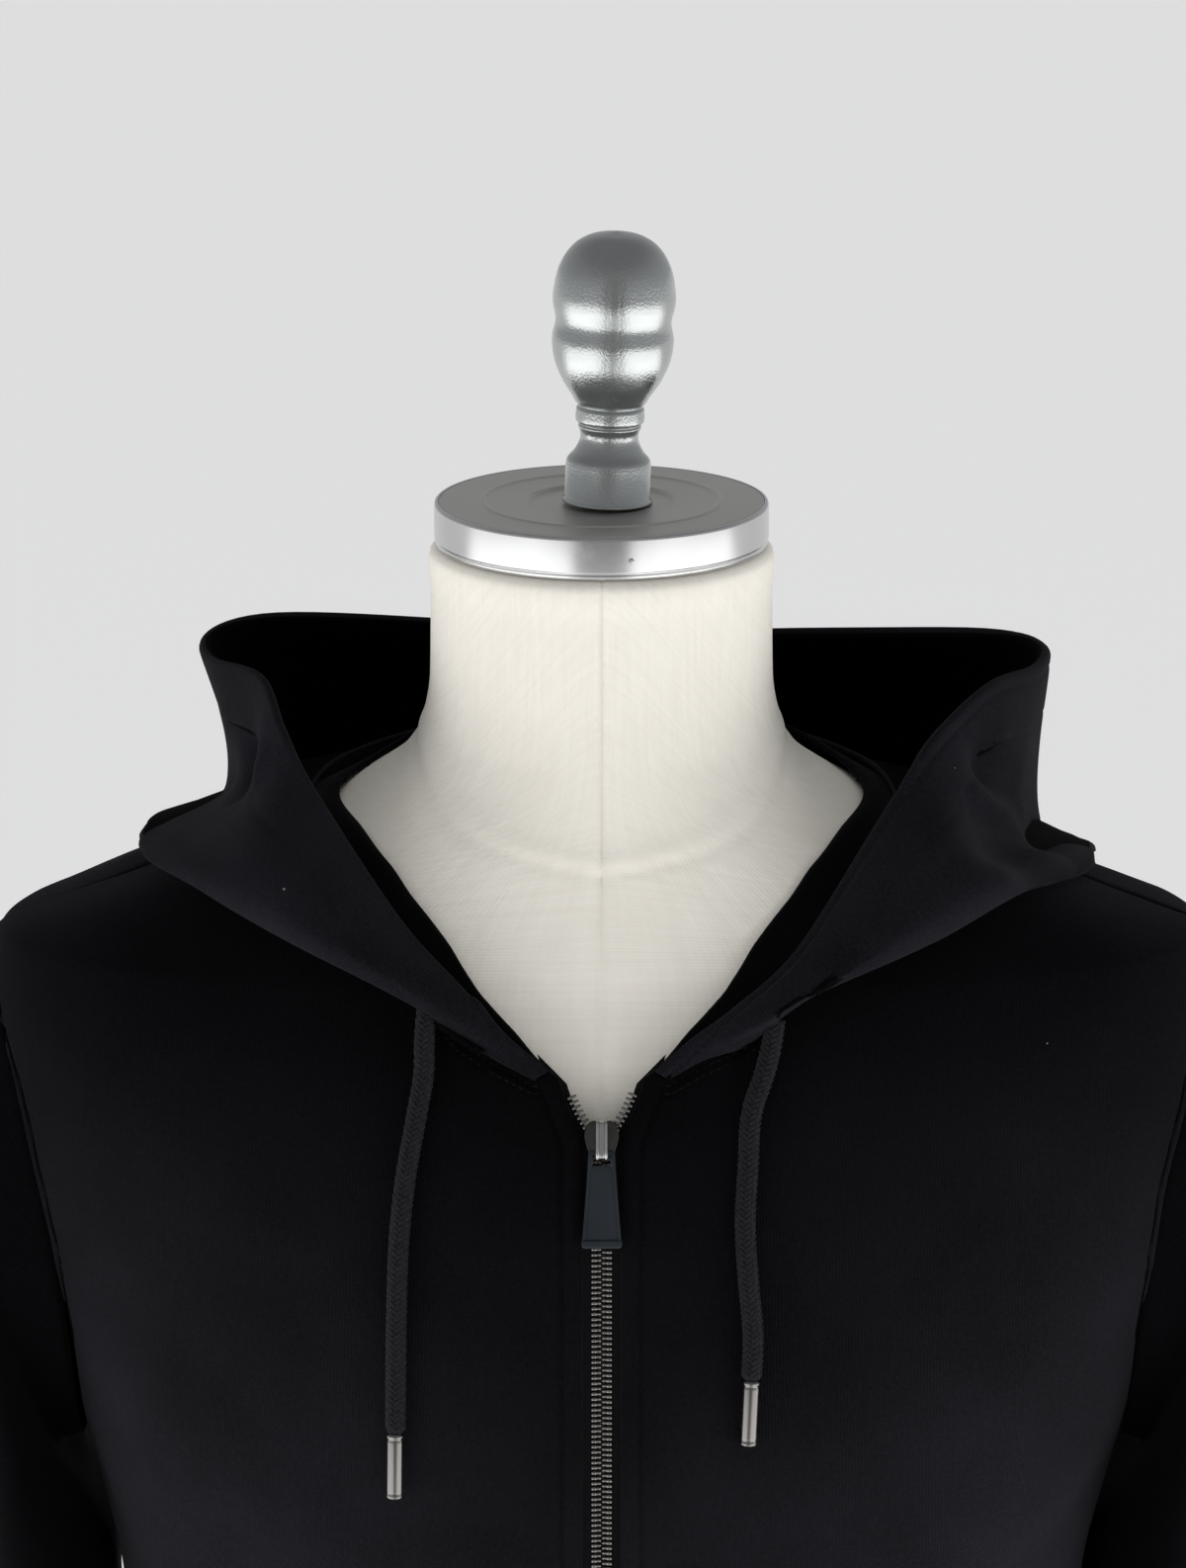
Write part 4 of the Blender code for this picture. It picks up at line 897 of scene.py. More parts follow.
CANVAS_LIGHT, CANVAS_SHADE = (0.818, 0.786, 0.718, 1), (0.735, 0.700, 0.630, 1)
# the fronts' and back's jersey, with painted light by height and side
jersey = knit("black jersey", (0.0028, 0.0027, 0.0034, 1), (0.0080, 0.0077, 0.0098, 1), 0.03, wear_and_painted_light=True)
# the hood's jersey is the same cloth painted lighter: painted light
hood_jersey_painted_lighter = knit("black jersey of the hood, painted lighter", (0.0042, 0.0040, 0.0052, 1), (0.0125, 0.0120, 0.0155, 1), 0.03)
# the jersey turned inside is the same cloth painted darker and without sheen: painted shade
inside_jersey_painted_shade = knit("black jersey inside, painted darker as shade", (0.0010, 0.0010, 0.0013, 1), (0.0030, 0.0030, 0.0036, 1),
                     0.0, lint=False)
# the sleeves' jersey is the same cloth painted darker: painted shade
sleeve_jersey_painted_shade = knit("black jersey of the sleeves, painted darker as shade", (0.0009, 0.0009, 0.0012, 1), (0.0029, 0.0029, 0.0036, 1),
                    0.01)
canvas = woven_canvas("cream canvas")
polished = bare_metal("polished aluminium", (0.64, 0.64, 0.64), 0.22, wear=0.05)
cast = bare_metal("cast aluminium", (0.50, 0.52, 0.515), 0.21, wear=0.06, crackle=0.00003)
brushed = bare_metal("brushed aluminium", (0.62, 0.615, 0.585), 0.40, brushed=0.7)
gunmetal = bare_metal("gunmetal", (0.235, 0.225, 0.215), 0.24)
# the slider's body: the same gunmetal painted darker, as painted shade
gunmetal_painted_shade = bare_metal("gunmetal painted darker as shade", (0.085, 0.082, 0.078), 0.24)
# the slider's bridge: the same gunmetal painted lighter, as painted highlight
gunmetal_painted_highlight = bare_metal("gunmetal painted lighter as highlight", (0.50, 0.50, 0.50), 0.20)
braid = yarn("black braid", (0.0042, 0.0042, 0.0054, 1), (0.0125, 0.0125, 0.0155, 1), 900.0)
thread = yarn("black thread", (0.0020, 0.0020, 0.0026, 1), (0.0062, 0.0062, 0.0078, 1), 1600.0)
tape_cloth = twill_tape("zip tape")
rubber = moulded("slate rubber", (0.0080, 0.0118, 0.0155, 1), (0.0118, 0.0158, 0.0205, 1), 0.55)
painted = moulded("satin painted steel", (0.030, 0.030, 0.033, 1), (0.038, 0.038, 0.041, 1), 0.40)


# ---- camera, floor and light ----
camera_data = bpy.data.cameras.new("camera")
camera_data.sensor_fit, camera_data.sensor_height = "VERTICAL", 24.0
camera_data.lens = CAMERA_LENS
camera_data.clip_end = 60.0
camera = put("camera", camera_data)
aim = Vector((0, math.cos(CAMERA_RISE), -math.sin(CAMERA_RISE)))
camera.location = Vector(CAMERA_TARGET) - aim * CAMERA_DISTANCE
camera.rotation_euler = aim.to_track_quat("-Z", "Y").to_euler()
bpy.context.scene.camera = camera
bpy.context.scene.view_settings.view_transform = "Standard"


def studio_sheet(name, size, place, shade):
    """A flat sheet that stands beside the part, such as the floor."""
    bm = bmesh.new()
    bmesh.ops.create_grid(bm, x_segments=6, y_segments=6, size=1)
    bmesh.ops.scale(bm, vec=size, verts=bm.verts[:])
    bmesh.ops.transform(bm, matrix=place, verts=bm.verts[:])
    mesh = mesh_of(bm, name, soft=False)
    made = put(name, mesh)
    mesh.materials.append(shade.material)
    return made


# the floor glows, more so in two pools beside the part, which light its sides from below
floor = Shade("studio floor", Base_Color=(0.55, 0.55, 0.55, 1), Roughness=0.9, Specular_IOR_Level=0.0,
              Emission_Color=(1, 1, 1, 1))
apart = floor.node("SeparateXYZ", Vector=floor.place()).outputs
beside = floor.maths("ABSOLUTE", apart["X"])
ahead = floor.maths("MAXIMUM", floor.maths("MULTIPLY", apart["Y"], -0.30), 0.10)
pools = floor.maths("MULTIPLY", floor.fit(floor.maths("SUBTRACT", beside, ahead), 0.0, 0.20),
                    floor.fit(beside, 7.0, 5.0))
pools = floor.maths("MULTIPLY", pools, floor.fit(apart["Y"], 1.2, 0.5))
pools = floor.maths("MULTIPLY", pools, floor.fit(apart["Y"], -6.0, -4.6))
glow = floor.maths("ADD", floor.maths("MULTIPLY", pools, FLOOR_POOLS), FLOOR_GLOW)
floor.set(floor.surface, {"Emission_Strength": glow})
studio_sheet("floor", (30, 30, 1), Matrix(), floor)
# a dim card behind the camera, for the metal to mirror
card_shade = Shade("grey card", Base_Color=(0.02, 0.02, 0.02, 1), Roughness=0.9,
                   Emission_Color=(1, 1, 1, 1), Emission_Strength=0.26)
grey_card = studio_sheet("grey card", (1.25, 1.6, 1), Matrix.Translation((0, -3.5, 1.6))
                         @ Matrix.Rotation(math.pi / 2, 4, "X"), card_shade)
grey_card.visible_camera = False

world = bpy.data.worlds.new("studio")
bpy.context.scene.world = world
world.use_nodes = True
nodes, links = world.node_tree.nodes, world.node_tree.links
nodes["Background"].inputs["Color"].default_value = (0.97, 0.98, 1.0, 1)
height = nodes.new("ShaderNodeSeparateXYZ")
fade = nodes.new("ShaderNodeMapRange")
links.new(nodes.new("ShaderNodeTexCoord").outputs["Generated"], height.inputs[0])
links.new(height.outputs["Z"], fade.inputs["Value"])
for socket, number in zip(list(fade.inputs)[1:5], (0.05, 0.75, HORIZON_LIGHT, SKY_LIGHT)):
    socket.default_value = number
links.new(fade.outputs[0], nodes["Background"].inputs["Strength"])


sky = bpy.data.lights.new("overhead", "SUN")
sky.energy, sky.angle = OVERHEAD_LIGHT, math.radians(70)
overhead = put("overhead", sky)
overhead.visible_glossy = False
overhead.rotation_euler = (math.radians(OVERHEAD_TILT), 0, 0)
for name, place, size, power in SOFTBOXES:
    light = bpy.data.lights.new(name, "AREA")
    light.shape, light.size, light.size_y = "RECTANGLE", *size
    light.energy = power
    softbox = put(name, light)
    softbox.visible_glossy = False
    softbox.location = place
    softbox.rotation_euler = (SOFTBOX_TARGET - Vector(place)).to_track_quat("-Z", "Y").to_euler()


# ---- drawcords ----
CORD_STATIONS = 120
CARRIERS = 10            # strands of the braid each way round
BRAID_LEAD = 0.0205      # length in which a strand goes once round
STRAND_WIDTH, STRAND_THICK = 0.00155, 0.00105


def along_route(points, count):
    """Evenly spaced points on the smooth curve through a route, and its length."""
    route = np.array(points)
    spans = lengths(route, 0)
    fine = smooth(spans, route, np.linspace(0, spans[-1], 600))
    run = lengths(fine, 0)
    marks = np.linspace(0, run[-1], count)
    return np.stack([np.interp(marks, run, fine[:, i]) for i in range(3)], axis=1), run[-1]


def sweep(points, outs, width, depth, sides):
    """Sections round a line: wide across it and deep along its way out."""
    _, side, up = frames_along(points, outs)
    turn = np.linspace(0, 2 * math.pi, sides + 1)
    width, depth = np.broadcast_to(width, len(points)), np.broadcast_to(depth, len(points))
    return (points[:, None] - side[:, None] * np.cos(turn)[None, :, None] * width[:, None, None] / 2
            + up[:, None] * np.sin(turn)[None, :, None] * depth[:, None, None] / 2)


def add_tube(bm, rings):
    """Joins a swept tube, closed at both ends, to a bmesh."""
    part = grid_mesh(rings, closed=True)
    bmesh.ops.holes_fill(part, edges=[e for e in part.edges if e.is_boundary], sides=0)
    bmesh.ops.recalc_face_normals(part, faces=part.faces[:])
    mesh = mesh_of(part, "part", soft=False)
    bm.from_mesh(mesh)
    bpy.data.meshes.remove(mesh)


def make_cord(name, route):
    """A round core with strands wound over it both ways, and its metal tip."""
    points, length = along_route(route, CORD_STATIONS)
    across = np.tile([1.0, 0.0, 0.0], (CORD_STATIONS, 1))
    ahead = unit(np.gradient(points, axis=0))
    first = unit(across - ahead * (across * ahead).sum(-1, keepdims=True))
    second = np.cross(ahead, first)
    bm = bmesh.new()
    tuck = np.sqrt(np.clip(np.linspace(length, 0, CORD_STATIONS) / 0.002, 0.25, 1))
    radius = CORD_DIAMETER / 2 - STRAND_THICK * 0.8
    add_tube(bm, sweep(points, second, 2 * radius - 0.0009, 2 * radius - 0.0009, 20))
    marks = np.linspace(0, length, CORD_STATIONS)
    for way in (1, -1):
        for i in range(CARRIERS):
            angle = way * 2 * math.pi * marks / BRAID_LEAD + 2 * math.pi * i / CARRIERS
            wave = np.cos(CARRIERS / 2 * angle - math.pi / 4) * way
            out = first * np.cos(angle)[:, None] + second * np.sin(angle)[:, None]
            line = points + out * ((radius - 0.00005 + 0.00042 * wave) * tuck)[:, None]
            add_tube(bm, sweep(line, out, STRAND_WIDTH, STRAND_THICK * (0.8 + 0.2 * wave), 7))
    cord = show(bm, f"drawcord_{name}", braid)
    end = points[-1]
    run = unit(points[-1] - points[-2])
    tip = aglet(f"aglet_tube_{name}", end, run)
    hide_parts(f"cord_{name}")
    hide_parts(f"aglet_{name}")


def aglet(name, end, run):
    """A metal tube crimped on the cord's end, with a rolled lip at each end."""
    body = [(0.0, -0.0006), (0.0026, -0.0006), (0.0030, -0.0002), (0.00335, 0.0002), (0.0034, 0.0007),
            (0.00325, 0.0012), (0.0030, 0.0015), (0.00295, 0.0018), (0.00305, 0.0022), (0.0031, 0.0030),
            (0.0031, 0.0120), (0.0031, 0.0205), (0.00305, 0.0214), (0.0030, 0.0218), (0.00315, 0.0223),
            (0.0032, 0.0228), (0.0031, 0.0233), (0.0027, 0.0236), (0.0021, 0.0236), (0.0019, 0.0232),
            (0.0018, 0.0215), (0.0, 0.0213)]
    turn = Vector(run).to_track_quat("Z", "X").to_matrix().to_4x4()
    return spun(name, body, 36, gunmetal, Matrix.Translation(Vector(end)) @ turn)


for name, route in (("left", CORD_LEFT), ("right", CORD_RIGHT)):
    make_cord(name, route)


# ---- jersey pieces ----
def steps(*spans):
    """Grid places: each span is its end and its number of steps."""
    places, start = [0.0], 0.0
    for end, count in spans:
        places.extend(start + (end - start) * (i + 1) / count for i in range(count))
        start = end
    return np.array(places)


def edge_gap(points, line):
    """Distance from each point to a line of points."""
    start, run = line[:-1], np.diff(line, axis=0)
    size = np.maximum((run ** 2).sum(-1), 1e-12)
    result = np.full(points.shape[:-1], 1e9)
    for a, r, s in zip(start, run, size):
        share = np.clip(((points - a) * r).sum(-1) / s, 0, 1)
        result = np.minimum(result, np.linalg.norm(points - a - share[..., None] * r, axis=-1))
    return result


def either(first, second, blend=0.002):
    """The smaller of two distances, rounded where they meet."""
    share = np.clip(0.5 + 0.5 * (second - first) / blend, 0, 1)
    return second * (1 - share) + first * share - blend * share * (1 - share)


def cut_of(points):
    return np.stack([lengths(points, 1), lengths(points, 0)], axis=-1)


CORD_LINES = [along_route(route[1:], 14)[0] for route in (CORD_LEFT, CORD_RIGHT)]


def clear_of_cords(points):
    """0 under a cord, so that the cloth stays flat there, rising to 1 away from it."""
    near = np.minimum(*(edge_gap(points, line) for line in CORD_LINES))
    return np.clip((near - 0.010) / 0.025, 0, 1)


def flat_area(points):
    a = points[1:, 1:] - points[:-1, :-1]
    b = points[1:, :-1] - points[:-1, 1:]
    return float(np.linalg.norm(np.cross(a, b), axis=-1).sum() / 2)


def sheet(piece, points, held, **more):
    """Works out the area, width and height of a cut piece's grid, and keeps none of them."""
    area = flat_area(points)
    width = float(lengths(points, 1)[:, -1].max())
    height = float(lengths(points, 0)[-1].max())


def seam_line(values, step=3):
    return values[::step] if (len(values) - 1) % step == 0 else np.vstack([values[::step], values[-1:]])


HEM_STITCHES = (0.0220, 0.0265)      # up from the edge of a hem or a cuff
ZIP_STITCHES = 0.0072                # off the front edge
ZIP_STITCHES_TOP = 0.855             # where they pass into the neck seam's own
NECK_STITCHES_REACH = 0.075          # how far from the middle the neck seam's stitches show
FRONT_SEAM_ROWS = 5                  # rows of the hood's seam that lie on the fronts
EDGE_ROLL = 0.0012                   # radius of a raw or turned edge of the jersey


def hem(rise, gap, swell=0.0008):
    """Lays a turned hem into the cloth: two rows of stitches, and a swell between them and the edge."""
    rise += sum(groove(gap, at, 0.0009, 0.0007) for at in HEM_STITCHES)
    rise += ridge(gap, 0.010, 0.011, swell)


stitch_rows = []


def mark_seam(points, out, distance, at):
    """Keeps the line where a distance has one value, followed over a grid's rows, for stitches."""
    rows = []
    for i in range(points.shape[0]):
        crossed = (distance[i, :-1] - at) * (distance[i, 1:] - at) <= 0
        over = np.nonzero(crossed & (np.abs(np.diff(distance[i])) < 0.05))[0]
        if len(over) == 0:
            continue
        j = over[0]
        share = (at - distance[i, j]) / (distance[i, j + 1] - distance[i, j] or 1e-9)
        place = points[i, j] * (1 - share) + points[i, j + 1] * share
        if rows and np.linalg.norm(place - rows[-1][0]) > 0.008:
            break
        rows.append((place, out[i, j]))
    if len(rows) > 3:
        stitch_rows.append((np.array([p for p, _ in rows]), np.array([n for _, n in rows])))


for side, name in ((-1, "left"), (1, "right")):
    us = steps((0.125, 34), (0.93, 74), (1.0, 9))
    vs = rows_at(steps((0.045, 30), (0.82, 104), (1.0, 52)))
    points, out = front_grid(us, vs)
    points, out = mirrored(points, side), mirrored(out, side)
    zip_gap = edge_gap(points, seam_line(points[:, 0], 4))
    neck_gap = edge_gap(points, seam_line(points[-1], 3))
    side_gap = edge_gap(points, seam_line(points[:, -1], 4))
    hem_gap = lengths(points, 0)
    quiet = np.clip(zip_gap / 0.030, 0, 1) * clear_of_cords(points)
    rise = waved(points, 0.16, 0.0011, 3 + side) * quiet + waved(points, 0.055, 0.0004, 7 + side) * quiet
    rise += creased(points, on_body(FRONT_CREASES)) * clear_of_cords(points)
    seam_rows = (HOOD_LEFT if side < 0 else HOOD_RIGHT)[:FRONT_SEAM_ROWS]
    seam_angle = np.radians([row.seam_degrees for row in seam_rows])
    seam = mirrored(ring_point(BODY, seam_angle, np.array([row.seam_z for row in seam_rows])), side)
    seam_height = np.interp(np.abs(points[..., 0]), np.abs(seam[:, 0]), seam[:, 2])
    hood_gap = edge_gap(points, seam) * np.where(points[..., 2] < seam_height, 1, -1)
    stitch_gap = either(zip_gap, np.abs(hood_gap) + 0.0058, 0.005)
    rise += groove(stitch_gap, ZIP_STITCHES, 0.0010, 0.0009)
    rise += ridge(stitch_gap, 0.0035, 0.0026, 0.0007)
    puckers = 0.6 + 0.4 * np.sin(points[..., 2] * 2 * math.pi / 0.0092 + 3 * np.sin(points[..., 2] * 70))
    rise += ridge(stitch_gap, 0.0098, 0.0016, 0.00035) * puckers
    off_zip = np.clip((zip_gap - 0.006) / 0.003, 0, 1)
    for at in NECK_STITCHES:
        rise += groove(hood_gap, at, 0.0008, 0.0009) * off_zip
    hem(rise, hem_gap)
    rise += rolled(either(either(zip_gap, neck_gap), either(side_gap, hem_gap)), EDGE_ROLL)
    points = points + out * rise[..., None]
    mark_seam(points, out, np.where(points[..., 2] < ZIP_STITCHES_TOP, stitch_gap, 1.0), ZIP_STITCHES)
    for at in NECK_STITCHES:
        shown = (zip_gap > 0.0075) & (np.abs(points[..., 0]) < NECK_STITCHES_REACH)
        mark_seam(points.swapaxes(0, 1)[:, ::-1], out.swapaxes(0, 1)[:, ::-1],
                  np.where(shown, hood_gap, 1.0).T[:, ::-1], at)
    piece = cloth(f"front_panel_{name}", points, cut_of(points), jersey, flip=side < 0)
    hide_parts(f"front_{name}")
    sheet(piece, points, "hung", rests_on=["form_torso"])

points, out = back_grid(steps((0.05, 8), (0.95, 124), (1.0, 8)),
                         rows_at(steps((0.045, 24), (0.96, 116), (1.0, 10))))
side_gap = np.minimum(*(edge_gap(points, seam_line(points[:, edge], 4)) for edge in (0, -1)))
neck_gap = edge_gap(points, seam_line(points[-1], 3))
hem_gap = lengths(points, 0)
rise = waved(points, 0.17, 0.0016, 21) + waved(points, 0.06, 0.0005, 22)
rise *= np.clip(side_gap / 0.02, 0, 1)
rise += creased(points, on_body(BACK_CREASES))
hem(rise, hem_gap)
rise += rolled(either(either(side_gap, neck_gap), hem_gap), EDGE_ROLL)
points = points + out * rise[..., None]
piece = cloth("back_panel", points, cut_of(points), jersey)
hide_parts("back")
sheet(piece, points, "hung", rests_on=["form_torso"])

for side, name, creases, seed in ((-1, "left", SLEEVE_CREASES_LEFT, 31),
                                  (1, "right", SLEEVE_CREASES_RIGHT, 41)):
    points = sleeve_grid(steps((1.0, 96)), steps((0.03, 6), (0.93, 128), (1.0, 22)))
    out = grid_out(points, closed=True)
    points, out = mirrored(points, side), mirrored(out, side)
    head_gap = edge_gap(points, points[0])
    cuff_gap = lengths(points, 0)[-1] - lengths(points, 0)
    inward = np.clip(1.2 - np.abs(points[..., 0]) / 0.21, 0.0, 1.0) > 0.18
    rise = waved(points, 0.09, 0.0014, seed) - 0.0006
    rise = rise * np.clip(head_gap / 0.03, 0, 1) * np.clip(cuff_gap / 0.02, 0, 1)
    rise += creased(points, on_grid(creases, points))
    rise = np.where(inward, np.minimum(rise, 0.0), rise)
    hem(rise, cuff_gap, swell=0.0006)
    rise += rolled(either(head_gap, cuff_gap), EDGE_ROLL)
    points = points + out * rise[..., None]
    points[0] += unit(points[0] - points[1]) * 0.0007
    # the sleeves take the jersey painted darker as shade
    piece = cloth(f"sleeve_cloth_{name}", points, cut_of(points), sleeve_jersey_painted_shade, closed=True, flip=side < 0)
    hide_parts(f"sleeve_{name}")
    sheet(piece, points, "hung")


# ---- the hood ----
FACING = 0.024           # cloth turned inside at the rim, as the drawcord's tunnel
RIM_STITCHES = 0.0052    # off the rim


def resample(points, outs, at):
    """Each column of a grid and its ways out, read at its own running lengths."""
    run = lengths(points, 0)
    result, ways = np.empty(at.shape + (3,)), np.empty(at.shape + (3,))
    for i in range(points.shape[1]):
        for axis in range(3):
            result[:, i, axis] = np.interp(at[:, i], run[:, i], points[:, i, axis])
            ways[:, i, axis] = np.interp(at[:, i], run[:, i], outs[:, i, axis])
    return result, unit(ways)


# each half with the radius of its turned rim, and how deep the rim's stitches lie
for side, name, rows, creases, fold, rim_groove in (
        (-1, "left", HOOD_LEFT, HOOD_CREASES_LEFT, 0.0019, 0.0),
        (1, "right", HOOD_RIGHT, HOOD_CREASES_RIGHT, 0.0024, 0.0006)):
    us = steps((0.12, 18), (0.6, 62), (1.0, 34))
    base = hood_grid(rows, us, np.linspace(0, 1, 161))
    out = grid_out(base)
    base, out = mirrored(base, side), mirrored(out, side)
    whole = lengths(base, 0)[-1]
    turn = np.minimum(fold, whole * 0.12)
    back_in = np.minimum(FACING, whole * 0.4)
    share = steps((0.08, 9), (0.85, 60), (1.0, 24))[:, None]
    outer_at = share * (whole - turn)
    outer, outer_out = resample(base, out, outer_at)
    inner_share = np.linspace(0, 1, 15)[1:, None]
    inner_at = (whole - turn) - inner_share * (back_in - turn)
    inner, inner_out = resample(base, out, inner_at)
    rim_gap = whole - outer_at
    middle = np.abs(outer[..., 0])
    rise = waved(outer, 0.11, 0.0012, 51 + side) * np.clip(rim_gap / 0.03, 0.15, 1)
    rise *= np.clip(outer_at / 0.02, 0, 1)
    rise += creased(outer, creases)
    rise += groove(rim_gap, RIM_STITCHES, 0.0011, rim_groove) + groove(rim_gap, FACING, 0.0011, 0.0005)
    rise += rolled(outer_at, EDGE_ROLL) + rolled(middle + 0.0002, 0.0010) * (outer[..., 1] > 0)
    shift = rise[-1]
    outer = outer + outer_out * rise[..., None]
    base_out, tip = outer_out[-1], outer[-1]
    ahead = unit(outer[-1] - outer[-2])
    sweep_angle = np.linspace(0, math.pi, 10)[1:-1, None, None]
    round_rim = (tip + ahead * turn[:, None] * np.sin(sweep_angle)
                 - base_out * turn[:, None] * (1 - np.cos(sweep_angle)))
    inner_rise = creased(inner, creases)
    closer = 2 * turn * (1 - 0.3 * inner_share)
    inner = inner + inner_out * (inner_rise + shift * (1 - inner_share) - closer)[..., None]
    points = np.concatenate([outer, round_rim, inner])
    piece = cloth(f"hood_half_{name}", points, cut_of(points), hood_jersey_painted_lighter, flip=side < 0,
                  turned_in=len(outer) + 5)
    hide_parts(f"hood_{name}")
    sheet(piece, points, "draped", rests_on=["front_panel_" + name, "back_panel"])


# ---- the dress form ----
CHEST_Z = 0.80


def form_grid():
    """Points and ways out of the form, closer together above the chest and beside the front seam."""
    top, foot = FORM[-1].z, FORM[0].z
    heights = np.concatenate([foot + (CHEST_Z - foot) * steps((1, 60)),
                              CHEST_Z + (top - CHEST_Z) * steps((1, 110))[1:]])
    heights[-1] = top
    near = np.array([0.004, 0.009, 0.016, 0.024])
    turns = np.sort(np.concatenate([2 * math.pi * steps((1.0, 180)), near, 2 * math.pi - near]))
    angle, z = np.meshgrid(turns, heights)
    points, out = ring_point(FORM, angle, z), ring_out(FORM, angle, np.clip(z, foot + 0.002, top - 0.002))
    return points, out, angle


FORM_GIRTH = 0.080       # radius on which the canvas weave is true
PRINCESS_SHARE = 0.52    # the princess seams' place, as a share of the half width
PRINCESS_TOP = 0.94
points, out, angle = form_grid()
z = points[..., 2]
middle = np.abs(points[..., 0])
rise = groove(middle, 0.0, 0.0010, 0.0011)
neck_line = np.interp(np.degrees(np.minimum(angle, 2 * math.pi - angle)),
                      [row[0] for row in FORM_NECK_SEAM], [row[1] for row in FORM_NECK_SEAM])
rise += groove(z, neck_line, 0.0011, 0.0010) + ridge(z - neck_line, 0.004, 0.003, 0.0006)
half_width = np.maximum(column(FORM, "z", "half_width", z), 0.01)
princess = np.abs(middle / half_width - PRINCESS_SHARE)
rise += groove(princess * 0.15, 0.0, 0.0010, 0.0009) * (z < PRINCESS_TOP)
top_gap = FORM[-1].z - z
rise += ridge(top_gap, 0.006, 0.006, 0.0010) + rolled(top_gap, 0.0030)
points = points + out * rise[..., None]
points[-1, :, 2] = FORM[-1].z
bm = grid_mesh(points, np.stack([angle * FORM_GIRTH, lengths(points, 0)], axis=-1), closed=True)
bmesh.ops.holes_fill(bm, edges=[e for e in bm.edges if e.is_boundary], sides=0)
bmesh.ops.recalc_face_normals(bm, faces=bm.faces[:])
form = show(bm, "canvas_form", canvas)
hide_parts("form_torso")


# ---- cap, knob and stand ----
def rounded(profile, radius, count=4):
    """A profile whose inner corners are eased."""
    eased = [profile[0]]
    for before, corner, after in zip(profile, profile[1:], profile[2:]):
        a, c, b = Vector(before), Vector(corner), Vector(after)
        room = min(radius, (a - c).length * 0.45, (b - c).length * 0.45)
        start, end = c + (a - c).normalized() * room, c + (b - c).normalized() * room
        for i in range(count + 1):
            t = i / count
            eased.append(tuple(start * (1 - t) ** 2 + c * (2 * t * (1 - t)) + end * t ** 2))
    return eased + [profile[-1]]


cap_foot = CAP_TOP_Z - CAP_HEIGHT
top_z = CAP_TOP_Z
disc = rounded([(0.0156, top_z - 0.0012), (0.0268, top_z - 0.0012), (0.0278, top_z - 0.0001),
                (0.0418, top_z - 0.0001), (0.0434, top_z + 0.0005), (0.0450, top_z - 0.0001),
                (0.0592, top_z - 0.0001), (0.0600, top_z - 0.0006)], 0.0005)
cap_top = spun("cap_top", [(0.0, top_z - 0.0012)] + disc + [(0.0596, top_z - 0.0020), (0.0, top_z - 0.0020)],
               144, brushed)
rim = rounded([(0.0597, top_z - 0.0002), (0.0606, top_z - 0.0001), (CAP_RADIUS, top_z - 0.0010),
               (CAP_RADIUS, cap_foot + 0.0030), (CAP_RADIUS - 0.0004, cap_foot + 0.0024),
               (CAP_RADIUS - 0.0002, cap_foot + 0.0014), (CAP_RADIUS - 0.0008, cap_foot),
               (0.0560, cap_foot)], 0.0006)
cap_rim = spun("cap_rim", rim, 144, polished)
bm = bmesh.new()
bmesh.ops.create_cone(bm, cap_ends=True, segments=20, radius1=0.0011, radius2=0.0011, depth=0.0012)
bmesh.ops.bevel(bm, geom=bm.edges[:], offset=0.0003, segments=2, affect="EDGES", profile=0.5, material=-1)
turned_out = Matrix.Rotation(math.pi / 2, 4, "X")
bmesh.ops.transform(bm, verts=bm.verts[:], matrix=Matrix.Rotation(CAP_PEG_TURN, 4, "Z")
                    @ Matrix.Translation((0, -CAP_RADIUS, cap_foot + CAP_HEIGHT * 0.45)) @ turned_out)
cap_peg = show(bm, "cap_peg", brushed)
for piece in (cap_top, cap_rim, cap_peg):
    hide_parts("neck_cap")

knob_keys = np.arange(len(KNOB) - 2, dtype=float)
knob_rows = smooth(knob_keys, [(row.radius, row.z) for row in KNOB[:-2]], np.linspace(0, knob_keys[-1], 210))
radius, height = knob_rows[:, 0], knob_rows[:, 1]
radius = radius + groove(height, 0.0358, 0.0006, 0.0010) + groove(height, 0.0290, 0.0006, 0.0009)
radius = radius + ridge(height, 0.0376, 0.0010, 0.0004)
knob_profile = [(max(r, 0.0), z) for r, z in zip(radius, height)]
knob_profile[0] = (0.0, knob_profile[0][1])
knob_profile += [(0.0156, 0.0016), (0.0164, 0.0010), (0.0166, 0.0003), (0.0160, 0.0), (0.0, 0.0)]
knob_place = Matrix.Translation((KNOB_X, 0, KNOB_SEAT_Z)) @ Matrix.Rotation(KNOB_LEAN, 4, "Y")
knob = spun("finial_knob", knob_profile, 96, cast, knob_place)
for vert in knob.data.vertices:
    local = knob_place.inverted() @ vert.co
    spread = abs(local.x) / 0.00035
    if 0.012 < local.z < 0.090:
        local.y *= 1 + 0.008 * math.exp(-spread ** 2)
        vert.co = knob_place @ local
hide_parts("knob")

